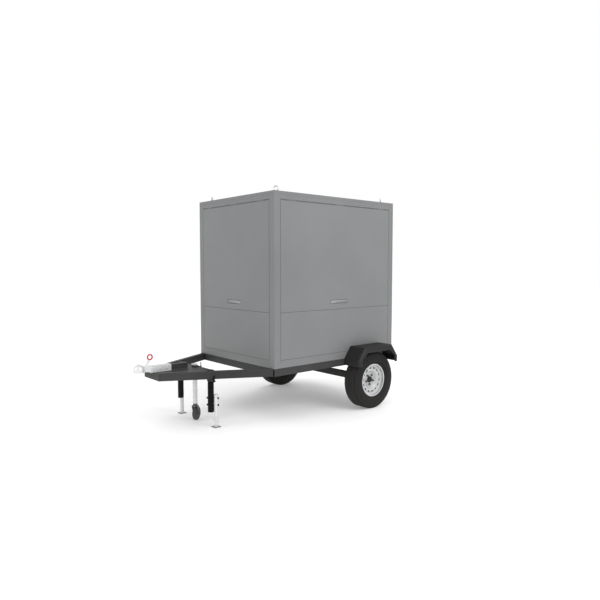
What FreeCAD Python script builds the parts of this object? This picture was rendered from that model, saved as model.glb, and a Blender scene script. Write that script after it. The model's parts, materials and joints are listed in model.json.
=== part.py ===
"""Towable diesel generator: a soundproof canopy with its generating set, on a single-axle
A-frame trailer with a ball coupling, a jockey wheel and two prop stands.

Frame: +X forward to the coupling, +Y to the left, +Z up, millimetres.  The origin is on the
ground, in the middle of the machine's length and width."""
import os
import re

import FreeCAD, Part
import Sketcher
from FreeCAD import Placement, Rotation, Vector

# Every size that can be set by itself: its name, its value and what it measures.
SIZE_LIST = [
    ("canopy_len", 1830, "canopy, front face to rear face"),
    ("canopy_wid", 1440, "canopy, side face to side face"),
    ("canopy_hgt", 1800, "canopy, underside to roof"),
    ("deck_hgt", 585, "canopy underside above the ground"),
    ("coupling_reach", 1173, "coupling nose ahead of the canopy"),
    ("post_wid", 80, "corner post, each way"),
    ("post_round", 6, "outer corner radius of the posts and roof"),
    ("roof_edge", 4, "rounding of the roof's top edge"),
    ("post_wall", 3, "corner post sheet"),
    ("frame_deep", 40, "depth of sill, header and mid rails"),
    ("frame_wall", 3, "sheet of sill, header and mid rails"),
    ("sill_hgt", 78, "height of the bottom sill"),
    ("mid_hgt", 569, "seam between panel and door above the deck"),
    ("header_drop", 81, "roof top down to the door's top line"),
    ("cap_hgt", 32, "depth of the roof cap"),
    ("cap_wall", 2.5, "roof sheet"),
    ("seam_gap", 5, "gap round each door and panel"),
    ("door_deep", 32, "depth of the folded door pan"),
    ("panel_deep", 25, "depth of the folded fixed panels"),
    ("skin", 2, "sheet of doors and panels"),
    ("hinge_radius", 5, "door hinge knuckle, also its depth below the face"),
    ("hinge_pin", 3, "radius of the door hinge pin"),
    ("hinge_drop", 5, "hinge axis below the header"),
    ("hinge_len", 120, "length of one door hinge"),
    ("hinge_inset", 150, "end hinges in from the door's edges"),
    ("handle_len", 250, "bar handle length"),
    ("handle_hgt", 32, "bar handle height"),
    ("handle_thick", 8, "bar handle thickness"),
    ("handle_up", 82, "handle centre above the seam"),
    ("recess_gap", 4, "gap round the handle in its recess"),
    ("recess_deep", 24, "depth of the handle recess"),
    ("strut_radius", 11, "gas strut cylinder"),
    ("strut_rod", 5, "gas strut rod"),
    ("strut_low_share", 0.742, "strut's frame pivot below the hinge axis, of the door's height"),
    ("strut_high_share", 0.288, "strut's door end below the hinge axis, of the door's height"),
    ("strut_back", 60, "strut behind the canopy face"),
    ("strut_side", 22, "strut in from the post"),
    ("strut_tube_share", 0.384, "gas strut cylinder length, of the door's height"),
    ("strut_engage_share", 0.306, "rod inside the closed cylinder, of the door's height"),
    ("rail_hgt", 78, "chassis rail height"),
    ("rail_wid", 40, "chassis rail width"),
    ("rail_wall", 4, "chassis tube wall"),
    ("leg_wid", 50, "drawbar leg width"),
    ("drawbar_tail", 694, "half width over the drawbar at the canopy"),
    ("nose_half", 160, "half width over the drawbar at its nose"),
    ("nose_reach", 981, "drawbar tubes ahead of the canopy"),
    ("plate_thick", 8, "drawbar plates"),
    ("plate_drop", 10, "gusset plate below the drawbar's top"),
    ("gusset_rear", 460, "gusset plate's rear edge ahead of the canopy"),
    ("stub_wid", 60, "square coupling stub"),
    ("stub_rear", 600, "stub's rear end ahead of the canopy"),
    ("stub_front", 1000, "stub's front end ahead of the canopy"),
    ("channel_rear", 790, "coupling channel's rear end ahead of the canopy"),
    ("channel_wall", 5, "coupling pressing"),
    ("fit_gap", 0.5, "clearance of parts that slide by hand"),
    ("run_gap", 0.05, "radial clearance of pins and shafts"),
    ("ball_radius", 25, "towing ball"),
    ("ball_gap", 0.5, "play of the socket on the ball"),
    ("head_radius", 53, "coupling head outside"),
    ("head_low", 3, "coupling head's underside above the deck"),
    ("head_high", 79, "coupling head's top above the deck"),
    ("lever_back", 1050, "lever pivot ahead of the canopy"),
    ("lever_up", 44, "lever pivot above the deck"),
    ("lever_len", 110, "lever pivot to ring centre"),
    ("lever_lean", 25, "lever's lean back from upright"),
    ("lever_wid", 28, "lever strip width"),
    ("lever_thick", 6, "lever strip thickness"),
    ("ring_radius", 25, "grip ring, to the middle of its bar"),
    ("ring_bar", 6.5, "grip ring bar radius"),
    ("jockey_reach", 500, "jockey wheel ahead of the canopy"),
    ("jockey_radius", 24, "jockey tube"),
    ("jockey_wall", 3, "jockey tube wall"),
    ("jockey_dia", 145, "jockey wheel"),
    ("jockey_wid", 46, "jockey wheel width"),
    ("jockey_trail", 28, "jockey wheel behind its swivel"),
    ("jockey_yaw", 37, "jockey wheel turned on its swivel as parked"),
    ("collar_wall", 6, "clamp collar wall"),
    ("screw_radius", 6, "clamp screw"),
    ("tee_len", 90, "tee bar of a clamp screw"),
    ("stand_reach", 499, "prop stand post ahead of the canopy"),
    ("stand_out", 311, "prop stand post from the middle"),
    ("stand_radius", 31, "prop stand post"),
    ("post_low_left", 430, "left post's lower end below the deck"),
    ("post_low_right", 396, "right post's lower end below the deck"),
    ("stud_drop", 345, "post's stud below the deck"),
    ("clamp_screw", 8, "prop stand screw radius, also its tee bar"),
    ("clamp_reach", 124, "tee bar out from its post"),
    ("clamp_turn", 74, "prop stand screw, turned out from straight ahead"),
    ("clamp_bar", 62, "tee bar length"),
    ("clamp_slip", 17, "tee bar slid up through its screw"),
    ("foot_back", 35, "stand leg behind its post"),
    ("foot_out", 41.5, "stand leg outside its post"),
    ("foot_radius", 20, "stand leg"),
    ("foot_top", 248, "stand leg's top below the deck"),
    ("foot_plate", 76, "stand foot plate, square"),
    ("foot_thick", 6, "stand foot plate thickness"),
    ("axle_setback", 1304, "axle behind the canopy front"),
    ("wheel_dia", 650, "tyre"),
    ("tyre_wid", 185, "tyre width"),
    ("tyre_gap", 6, "tyre clear of the canopy side"),
    ("rim_dia", 356, "wheel rim bead seat"),
    ("rim_flange", 8, "rim flange height"),
    ("rim_sheet", 4, "wheel disc and rim thickness"),
    ("slot_ring", 134, "hand holes from the wheel's middle"),
    ("bolt_ring", 56, "wheel nuts from the wheel's middle"),
    ("hub_radius", 31, "wheel hub"),
    ("hub_face", 22, "hub's outer end from the tyre's middle"),
    ("spindle", 22, "axle spindle radius"),
    ("drum_radius", 112, "brake drum"),
    ("axle_beam", 69, "square axle beam"),
    ("beam_lift", 4, "beam's middle above the wheel's"),
    ("mount_in", 42, "axle mounts in from the canopy side"),
    ("mount_len", 150, "axle mount plates along the machine"),
    ("mount_wid", 76, "axle mount plates across the machine"),
    ("mount_plate", 10, "axle mount plate thickness"),
    ("block_radius", 36, "rubber spring at its widest"),
    ("member_half", 350, "cross members before and behind the axle"),
    ("guard_wid", 231, "mudguard out from the canopy side"),
    ("guard_back", 32, "mudguard's middle behind the axle"),
    ("guard_half", 334, "mudguard half length at the bottom"),
    ("guard_flat", 235, "mudguard half length at the top"),
    ("guard_rise", 134, "mudguard top above the deck"),
    ("guard_drop", 72, "mudguard bottom below the deck"),
    ("guard_lip", 62, "mudguard outer lip depth"),
    ("guard_skin", 3, "mudguard sheet"),
    ("guard_round", 30, "mudguard outer edge rounding"),
    ("eye_inset", 110, "lifting eye in from each corner"),
    ("eye_radius", 24, "lifting eye ring, to the middle of its bar"),
    ("eye_bar", 6, "lifting eye bar radius"),
    ("grille_len", 420, "roof outlet along the canopy"),
    ("grille_wid", 760, "roof outlet across the canopy"),
    ("grille_back", 120, "roof outlet behind the canopy front"),
    ("tank_hgt", 190, "base tank height"),
    ("tank_in", 320, "base tank in from the canopy sides"),
    ("crank_hgt", 1200, "engine and generator shaft above the ground"),
    ("skid_out", 265, "skid rail's middle from the machine's"),
    ("skid_wid", 70, "skid rail width"),
    ("skid_hgt", 90, "skid rail height"),
    ("mount_hgt", 30, "rubber mounts under the skid"),
    ("engine_len", 600, "crankcase length"),
    ("crankcase_half", 190, "crankcase half width"),
    ("crankcase_hgt", 300, "crankcase height"),
    ("crank_low", 110, "crankcase's underside below the shaft"),
    ("head_hgt", 140, "cylinder head height"),
    ("cover_hgt", 70, "rocker cover height"),
    ("bell_len", 110, "flywheel housing length"),
    ("stator_radius", 235, "generator and flywheel housing radius"),
    ("stator_len", 530, "generator length"),
    ("end_len", 80, "generator end bell length"),
    ("fan_up", 70, "fan shaft above the crankshaft"),
    ("fan_shaft", 16, "fan shaft radius"),
    ("fan_hub", 72, "fan hub radius"),
    ("fan_radius", 262, "fan blade tip"),
    ("radiator_back", 260, "radiator behind the canopy front"),
    ("radiator_half", 330, "radiator half width"),
    ("radiator_deep", 90, "radiator core depth"),
    ("radiator_high", 440, "radiator core's top above the shaft"),
    ("header_tank", 70, "radiator top tank height"),
    ("cowl_deep", 70, "fan cowl depth"),
    ("silencer_radius", 115, "silencer body"),
    ("silencer_out", 170, "silencer to the right of the middle"),
    ("silencer_drop", 330, "silencer's middle below the roof"),
    ("silencer_wall", 3, "silencer sheet"),
    ("pipe_radius", 35, "exhaust pipe"),
    ("cleaner_radius", 95, "air filter"),
    ("cleaner_out", 245, "air filter to the left of the middle"),
    ("battery_len", 260, "battery length"),
    ("battery_wid", 175, "battery width"),
    ("battery_hgt", 196, "battery height"),
    ("panel_len", 530, "control cabinet length"),
    ("panel_hgt", 560, "control cabinet height"),
    ("panel_low", 230, "control cabinet above the shaft"),
    ("panel_deep_box", 180, "control cabinet depth"),
    ("panel_in", 150, "control cabinet face in from the canopy side"),
    ("socket_radius", 38, "power socket"),
    ("button_radius", 20, "stop button head"),
    ("cap_radius", 42, "fuel cap"),
    ("filler_ahead", 300, "fuel filler ahead of the canopy's middle"),
    ("button_travel", 6, "stop button stroke"),
]
SIZES = {name: value for name, value, meaning in SIZE_LIST}

# Lines that several pieces meet on, each worked out from the sizes above.
PLACES = {
    "front": "(canopy_len - coupling_reach) / 2",
    "rear": "front - canopy_len",
    "middle": "front - canopy_len / 2",
    "half": "canopy_wid / 2",
    "roof": "deck_hgt + canopy_hgt",
    "cap": "roof - cap_hgt",
    "seam": "deck_hgt + mid_hgt",
    "head": "roof - header_drop",
    "hinge": "head - hinge_drop",
    "door_top": "hinge - hinge_radius - 1",
    "door_tall": "hinge - seam",
    "strut_low": "strut_low_share * door_tall",
    "strut_high": "strut_high_share * door_tall",
    "strut_tube": "strut_tube_share * door_tall",
    "strut_engage": "strut_engage_share * door_tall",
    "grip": "seam + handle_up",
    "rail_low": "deck_hgt - rail_hgt",
    "rail_in": "half - rail_wid",
    "nose": "front + nose_reach",
    "splay": "atan((drawbar_tail - nose_half) / nose_reach)",
    "plate_top": "deck_hgt - plate_drop",
    "plate_low": "plate_top - plate_thick",
    "stub_half": "stub_wid / 2",
    "stub_top": "plate_top + stub_wid",
    "ball": "front + coupling_reach - head_radius",
    "lever_x": "front + lever_back",
    "lever_z": "deck_hgt + lever_up",
    "jockey": "front + jockey_reach",
    "stand": "front + stand_reach",
    "axle": "front - axle_setback",
    "hub": "wheel_dia / 2",
    "track": "half + tyre_gap + tyre_wid / 2",
    "beam_mid": "hub + beam_lift",
    "beam_top": "beam_mid + axle_beam / 2",
    "mount_y": "half - mount_in",
    "clamp_z": "rail_low - clamp_screw - 3",
    "leg_out": "drawbar_tail - tan(splay) * stand_reach",
    "leg_in": "leg_out - leg_wid / cos(splay) - 24 * tan(splay)",
    "brace_half": "drawbar_tail - leg_wid / cos(splay) - tan(splay) * (gusset_rear + 130)",
    "tank_top": "deck_hgt + tank_hgt",
    "skid_top": "tank_top + mount_hgt + skid_hgt",
    "fly": "middle - 60",
    "fan_x": "fly + engine_len + 70",
    "fan_z": "crank_hgt + fan_up",
    "cabinet": "rear + post_wid + 30",
    "board": "half - panel_in",
}
WORD = re.compile(r"[a-z][a-z_]*")


def bound(text):
    """The expression text with each size as a cell of the sheet and each place worked out."""
    def swap(found):
        word = found.group()
        if word in PLACES:
            return "(" + bound(PLACES[word]) + ")"
        return "Sizes." + word if word in SIZES else word
    return WORD.sub(swap, str(text))


doc = FreeCAD.newDocument("TowableGenerator")
sheet = doc.addObject("Spreadsheet::Sheet", "Sizes")
for row, (name, value, meaning) in enumerate(SIZE_LIST, start=1):
    sheet.set(f"A{row}", meaning)
    sheet.set(f"B{row}", str(value))
    sheet.setAlias(f"B{row}", name)
doc.recompute()
pieces = []


def number(text):
    """What an expression comes to, for a sketch's first guess and for picking edges."""
    result = sheet.evalExpression(bound(text))
    return float(getattr(result, "Value", result))


def tie(thing, **ties):
    """Binds properties of an object to expressions: at= is its base point."""
    for name, text in ties.items():
        if name == "at":
            for axis, part in zip("xyz", text):
                thing.setExpression("Placement.Base." + axis, bound(part))
        else:
            thing.setExpression(name, bound(text))
    return thing


def block(x, y, z):
    """A box between two planes along each axis, each given as a pair (low, high)."""
    box = doc.addObject("Part::Box", "Block")
    sides = [f"({high}) - ({low})" for low, high in (x, y, z)]
    return tie(box, Length=sides[0], Width=sides[1], Height=sides[2], at=(x[0], y[0], z[0]))


AIM = {
    "x": Rotation(Vector(0, 1, 0), 90),
    "y": Rotation(Vector(1, 0, 0), -90),
    "z": Rotation(),
}


def rod(axis, centre, span, radius):
    """A cylinder along an axis: centre holds its two other coordinates, in x, y, z order."""
    thing = doc.addObject("Part::Cylinder", "Rod")
    thing.Placement = Placement(Vector(), AIM[axis])
    at = list(centre)
    at.insert("xyz".index(axis), span[0])
    return tie(thing, Radius=radius, Height=f"({span[1]}) - ({span[0]})", at=at)


def ball_at(at, radius):
    return tie(doc.addObject("Part::Sphere", "Ball"), Radius=radius, at=at)


def ring(at, major, minor, turn=Rotation()):
    thing = doc.addObject("Part::Torus", "Ring")
    thing.Placement = Placement(Vector(), turn)
    return tie(thing, Radius1=major, Radius2=minor, at=at)


def fuse(*parts):
    if len(parts) == 1:
        return parts[0]
    thing = doc.addObject("Part::MultiFuse", "Fused")
    thing.Shapes = list(parts)
    thing.Refine = True
    return thing


def cut(base, *tools):
    thing = doc.addObject("Part::Cut", "Cut")
    thing.Base = base
    thing.Tool = fuse(*tools)
    thing.Refine = True
    return thing


def common(base, tool):
    thing = doc.addObject("Part::Common", "Trimmed")
    thing.Base = base
    thing.Tool = tool
    return thing


def group(*parts):
    if len(parts) == 1:
        return parts[0]
    thing = doc.addObject("Part::Compound", "Group")
    thing.Links = list(parts)
    return thing


def put(thing, turn, at):
    """Turns a thing made at the origin about +Z and moves it to its place."""
    holder = doc.addObject("Part::Compound", "Placed")
    holder.Links = [thing]
    holder.Placement = Placement(Vector(), Rotation(Vector(0, 0, 1), turn))
    return tie(holder, at=at)


def aimed(sign, thing, angle, at):
    """Turns a thing made along +X by an angle about +Z, or about -Z on the right (sign -)."""
    holder = doc.addObject("Part::Compound", "Aimed")
    holder.Links = [thing]
    holder.Placement = Placement(Vector(), Rotation(Vector(0, 0, 1 if sign == "+" else -1), 10))
    tie(holder, **{"Placement.Rotation.Angle": angle})
    return tie(holder, at=at)


def signed(sign, text):
    """A y place on the left (sign +) or mirrored to the right (sign -)."""
    return text if sign == "+" else f"-({text})"


def piece(label, *parts):
    """Names one sub-part of the machine."""
    thing = group(*parts)
    thing.Label = label
    pieces.append(thing)
    return thing


def drawn(body, plane, points, name="Outline"):
    """A closed outline of straight lines in a body's own plane, each corner tied to the sheet."""
    sketch = body.newObject("Sketcher::SketchObject", name)
    role = [feature for feature in body.Origin.OriginFeatures if feature.Role == plane]
    sketch.AttachmentSupport = [(role[0], "")]
    sketch.MapMode = "FlatFace"
    corners = [Vector(number(across), number(up), 0) for across, up in points]
    count = len(corners)
    for index in range(count):
        line = Part.LineSegment(corners[index], corners[(index + 1) % count])
        sketch.addGeometry(line, False)
    for index in range(count):
        sketch.addConstraint(Sketcher.Constraint("Coincident", index, 2, (index + 1) % count, 1))
    for index, (corner, texts) in enumerate(zip(corners, points)):
        for kind, size, text in (("X", corner.x, texts[0]), ("Y", corner.y, texts[1])):
            place = sketch.addConstraint(
                Sketcher.Constraint("Distance" + kind, -1, 1, index, 1, size))
            sketch.renameConstraint(place, f"corner{kind}{index}")
            sketch.setExpression(f"Constraints.corner{kind}{index}", bound(text))
    return sketch


def slab(plane, points, low, high):
    """A body padded from an outline, between two planes square to it."""
    body = doc.addObject("PartDesign::Body", "Slab")
    sketch = drawn(body, plane, points)
    pad = body.newObject("PartDesign::Pad", "Pad")
    pad.Profile = sketch
    if plane == "XZ_Plane":
        low, high = f"-({high})", f"-({low})"
    tie(sketch, **{"AttachmentOffset.Base.z": low})
    tie(pad, Length=f"({high}) - ({low})")
    body.Tip = pad
    return body


def turned(points, plane="YZ_Plane", axis="H_Axis"):
    """A body of revolution: points are (along the axis, radius) for H_Axis, the other way
    round for V_Axis."""
    body = doc.addObject("PartDesign::Body", "Turned")
    sketch = drawn(body, plane, points)
    spin = body.newObject("PartDesign::Revolution", "Revolution")
    spin.Profile = sketch
    spin.ReferenceAxis = (sketch, [axis])
    spin.Angle = 360
    body.Tip = spin
    return body


def softened(body, radius, pick):
    """Adds a fillet to a body's edges that pick accepts, its radius tied to the sheet."""
    doc.recompute()
    last = body.Tip
    names = [f"Edge{index}" for index, edge in enumerate(last.Shape.Edges, start=1) if pick(edge)]
    fillet = body.newObject("PartDesign::Fillet", "Fillet")
    fillet.Base = (last, names)
    tie(fillet, Radius=radius)
    body.Tip = fillet
    return body


def upright_at(corners):
    """A test for the upright edges that stand on the given (x, y) corners."""
    def pick(edge):
        ends = [vertex.Point for vertex in edge.Vertexes]
        if len(ends) < 2 or abs(ends[0].z - ends[1].z) < 1:
            return False
        return any(abs(ends[0].x - x) + abs(ends[0].y - y) < 0.1 and
                   abs(ends[1].x - x) + abs(ends[1].y - y) < 0.1 for x, y in corners)
    return pick


def tube(axis, centre, span, radius, bore):
    return cut(rod(axis, centre, span, radius),
               rod(axis, centre, (f"({span[0]}) - 1", f"({span[1]}) + 1"), bore))


def sided(sign, low, high):
    """A y span on the left (sign +) or mirrored to the right (sign -)."""
    return (low, high) if sign == "+" else (f"-({high})", f"-({low})")


# ---------------------------------------------------------------- chassis
def chassis():
    z = ("rail_low", "deck_hgt")
    bore_z = ("rail_low + rail_wall", "deck_hgt - rail_wall")
    rails = []
    for sign in "+-":
        outer = block(("rear", "front"), sided(sign, "rail_in", "half"), z)
        bore = block(("rear - 1", "front + 1"),
                     sided(sign, "rail_in + rail_wall", "half - rail_wall"), bore_z)
        rails.append(cut(outer, bore))
    piece("side_rails", *rails)
    members = []
    for centre in ("front - rail_wid / 2", "rear + rail_wid / 2", "front - canopy_len * 0.33",
                   "axle + member_half", "axle - member_half + rail_wid"):
        low, high = f"{centre} - rail_wid / 2", f"{centre} + rail_wid / 2"
        outer = block((low, high), ("-rail_in", "rail_in"), z)
        bore = block((f"{low} + rail_wall", f"{high} - rail_wall"),
                     ("-rail_in - 1", "rail_in + 1"), bore_z)
        members.append(cut(outer, bore))
    piece("cross_members", *members)


def drawbar():
    """Two box-section legs that converge to a nose plate, with a gusset plate between them."""
    def leg(sign, inset):
        bar = doc.addObject("Part::Box", "LegBar")
        bar.Placement = Placement(Vector(), Rotation(Vector(0, 0, -1 if sign == "+" else 1), 20))
        tie(bar, **{"Placement.Rotation.Angle": "splay"})
        start = f"-drawbar_tail + {inset} / cos(splay) - 60 * sin(splay)"
        if sign == "+":
            start = f"drawbar_tail - (leg_wid - {inset}) / cos(splay) + 60 * sin(splay)"
        return tie(bar, at=("front - 60 * cos(splay)", start, f"rail_low + {inset}"),
                   Length="nose_reach / cos(splay) + 160", Width=f"leg_wid - 2 * {inset}",
                   Height=f"rail_hgt - 2 * {inset}")
    room = [block(("front", "nose"), ("-half", "half"), ("rail_low", "deck_hgt")) for _ in "12"]
    legs = [common(cut(leg(sign, "0"), leg(sign, "rail_wall")), limit)
            for sign, limit in zip("+-", room)]
    piece("drawbar_legs", *legs)

    inner = "(drawbar_tail - leg_wid / cos(splay) - tan(splay) * ({}))"
    rear_half = inner.format("gusset_rear")
    tip_half = inner.format("nose_reach")
    gusset = slab("XY_Plane", [("front + gusset_rear", f"-{rear_half}"), ("nose", f"-{tip_half}"),
                               ("nose", tip_half), ("front + gusset_rear", rear_half)],
                  "plate_low", "plate_top")
    gusset = cut(gusset, rod("z", ("jockey", "0"), ("plate_low - 1", "plate_top + 1"),
                             "jockey_radius + fit_gap + collar_wall"),
                 block(("front + gusset_rear - 1", "jockey"), ("-16", "16"),
                       ("plate_low - 1", "plate_top + 1")),
                 *[rod("z", ("stand", out), ("plate_low - 1", "plate_top + 1"),
                       "stand_radius + 2") for out in ("stand_out", "-stand_out")])
    nose_plate = block(("nose", "nose + plate_thick"), ("-nose_half", "nose_half"),
                       ("rail_low", "plate_top"))
    tie_bar = block(("front + gusset_rear + 90", "front + gusset_rear + 130"),
                    ("-brace_half", "brace_half"), ("rail_low + 12", "plate_low"))
    piece("drawbar_plates", gusset, nose_plate, tie_bar)


def coupling():
    """A pressed ball coupling over a square stub, with its bolts and release lever."""
    bolt_places = ("front + channel_rear + 40", "front + channel_rear + 120")
    stub_z = ("plate_top", "stub_top")
    outer = block(("front + stub_rear", "front + stub_front"), ("-stub_half", "stub_half"), stub_z)
    bore = block(("front + stub_rear + 4", "front + stub_front + 1"),
                 ("-stub_half + channel_wall", "stub_half - channel_wall"),
                 ("plate_top + channel_wall", "stub_top - channel_wall"))
    holes = [rod("y", (x, "plate_top + stub_half"), ("-half", "half"), "screw_radius + run_gap")
             for x in bolt_places]
    piece("coupling_stub", cut(outer, bore, *holes))

    side = "stub_half + fit_gap + channel_wall"
    channel = block(("front + channel_rear", "front + stub_front + 12"), (f"-({side})", side),
                    ("plate_top + 2", "stub_top + fit_gap + channel_wall"))
    pocket = block(("front + channel_rear - 1", "front + stub_front + fit_gap"),
                   ("-stub_half - fit_gap", "stub_half + fit_gap"),
                   ("plate_top", "stub_top + fit_gap"))
    neck = slab("XY_Plane", [("front + stub_front + 5", f"-({side})"), ("lever_x + 5", "-27"),
                             ("ball", "-head_radius * 0.8"), ("ball", "head_radius * 0.8"),
                             ("lever_x + 5", "27"), ("front + stub_front + 5", side)],
                "deck_hgt + head_low", "stub_top + fit_gap + channel_wall")
    dome = "(head_high - head_low)"
    outline = ((1, 0.24), (0.97, 0.45), (0.89, 0.64), (0.76, 0.8), (0.58, 0.92), (0.36, 0.98))
    head = turned([("0", "deck_hgt + head_low"), ("head_radius", "deck_hgt + head_low")] +
                  [(f"head_radius * {out}", f"deck_hgt + head_low + {dome} * {up}")
                   for out, up in outline] + [("0", "deck_hgt + head_high")],
                  "XZ_Plane", "V_Axis")
    tie(head, at=("ball", "0", "0"))
    socket_z = "deck_hgt + head_low + 20"
    socket = [rod("z", ("ball", "0"), ("deck_hgt", socket_z), "ball_radius + ball_gap"),
              ball_at(("ball", "0", socket_z), "ball_radius + ball_gap")]
    slot = block(("lever_x - 30", "lever_x + 26"),
                 ("-lever_thick / 2 - fit_gap", "lever_thick / 2 + fit_gap"),
                 ("lever_z - 18", "lever_z + 40"))
    pivot = rod("y", ("lever_x", "lever_z"), ("-20", "20"), "screw_radius")
    shell = cut(fuse(channel, neck, head), pocket, *socket, slot, *[
        rod("y", (x, "plate_top + stub_half"), ("-half", "half"), "screw_radius + run_gap")
        for x in bolt_places])
    bolts = []
    for x in bolt_places:
        shank = rod("y", (x, "plate_top + stub_half"), (f"-({side}) - 14", f"{side} + 8"),
                    "screw_radius")
        head_disc = rod("y", (x, "plate_top + stub_half"), (side, f"{side} + 8"),
                        "screw_radius * 1.8")
        nut = rod("y", (x, "plate_top + stub_half"), (f"-({side}) - 10", f"-({side})"),
                  "screw_radius * 1.8")
        bolts.append(fuse(shank, head_disc, nut))
    piece("coupling_body", fuse(shell, pivot), *bolts)

    lean = Rotation(Vector(0, -1, 0), SIZES["lever_lean"])
    strip = block(("-lever_wid / 2", "lever_wid / 2"), ("-lever_thick / 2", "lever_thick / 2"),
                  ("0", "lever_len - ring_radius + 4"))
    eye = rod("y", ("0", "0"), ("-lever_thick / 2", "lever_thick / 2"), "lever_wid / 2")
    hole = rod("y", ("0", "0"), ("-lever_thick", "lever_thick"), "screw_radius + run_gap")
    grip = ring(("0", "0", "lever_len"), "ring_radius", "ring_bar", AIM["y"])
    lever = group(cut(fuse(strip, eye), hole, grip), grip)
    holder = doc.addObject("Part::Compound", "LeaningLever")
    holder.Links = [lever]
    holder.Placement = Placement(Vector(), lean)
    tie(holder, **{"Placement.Rotation.Angle": "lever_lean"}, at=("lever_x", "0", "lever_z"))
    piece("coupling_lever", holder)


def jockey():
    """A clamped tube with a swivelling castor wheel under the gusset plate."""
    bore = "jockey_radius + fit_gap"
    collar = cut(rod("z", ("jockey", "0"), ("rail_low + 10", "deck_hgt + 6"),
                     f"{bore} + collar_wall"),
                 rod("z", ("jockey", "0"), ("rail_low", "deck_hgt + 8"), bore))
    boss = block((f"jockey - ({bore}) - collar_wall - 14", "jockey"), ("-15", "15"),
                 ("plate_low - 12", "plate_top + 6"))
    room = rod("z", ("jockey", "0"), ("rail_low", "deck_hgt + 8"), bore)
    thread = rod("x", ("0", "plate_low + 2"), ("front", "jockey"), "screw_radius + run_gap")
    clamp = cut(fuse(collar, boss), room, thread)
    tip = f"jockey - ({bore}) - 0.5"
    screw_z = "plate_low + 2"
    piece("jockey_screw", fuse(
        rod("x", ("0", screw_z), (f"jockey - ({bore}) - 56", tip), "screw_radius"),
        rod("z", (f"jockey - ({bore}) - 48", "0"),
            (f"{screw_z} - tee_len / 2", f"{screw_z} + tee_len / 2"), "screw_radius * 0.75")))
    crown = "jockey_dia + 38"
    column = tube("z", ("jockey", "0"), ("jockey_dia + 24 + 20", "deck_hgt + 18"),
                  "jockey_radius", "jockey_radius - jockey_wall")
    top = rod("z", ("jockey", "0"), ("deck_hgt + 15", "deck_hgt + 18"), "jockey_radius - 1")
    piece("jockey_tube", fuse(column, top))

    cheek = "jockey_wid / 2 + 4"
    cheeks = []
    for sign in "+-":
        plate = slab("XZ_Plane", [("-20", "jockey_dia + 14"), ("24", "jockey_dia + 14"),
                                  ("-jockey_trail + 14", "jockey_dia / 2 - 14"),
                                  ("-jockey_trail - 14", "jockey_dia / 2 - 14")],
                     *sided(sign, cheek, f"{cheek} + 4"))
        cheeks.append(plate)
    bridge = block(("-22", "24"), (f"-({cheek}) - 4", f"{cheek} + 4"),
                   ("jockey_dia + 9", "jockey_dia + 15"))
    stem = rod("z", ("0", "0"), ("jockey_dia + 12", "jockey_dia + 80"),
               "jockey_radius - jockey_wall - run_gap")
    flange = rod("z", ("0", "0"), ("jockey_dia + 12", "jockey_dia + 42"), "jockey_radius")
    bolt = rod("y", ("-jockey_trail", "jockey_dia / 2"), (f"-({cheek}) - 12", f"{cheek} + 10"),
               "screw_radius")
    fork = fuse(*cheeks, bridge, stem, flange, bolt)
    piece("jockey_fork", put(fork, SIZES["jockey_yaw"], ("jockey", "0", "0")))
    wheel = turned([("-jockey_wid / 2", "screw_radius + run_gap"),
                    ("-jockey_wid / 2", "jockey_dia / 2 - 26"),
                    ("-jockey_wid / 2 + 5", "jockey_dia / 2 - 22"),
                    ("-jockey_wid / 2 + 1", "jockey_dia / 2 - 10"),
                    ("-jockey_wid / 2 + 9", "jockey_dia / 2"),
                    ("jockey_wid / 2 - 9", "jockey_dia / 2"),
                    ("jockey_wid / 2 - 1", "jockey_dia / 2 - 10"),
                    ("jockey_wid / 2 - 5", "jockey_dia / 2 - 22"),
                    ("jockey_wid / 2", "jockey_dia / 2 - 26"),
                    ("jockey_wid / 2", "screw_radius + run_gap")])
    tie(wheel, at=("-jockey_trail", "0", "jockey_dia / 2"))
    piece("jockey_wheel", put(group(wheel), SIZES["jockey_yaw"], ("jockey", "0", "0")))
    return clamp


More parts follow.
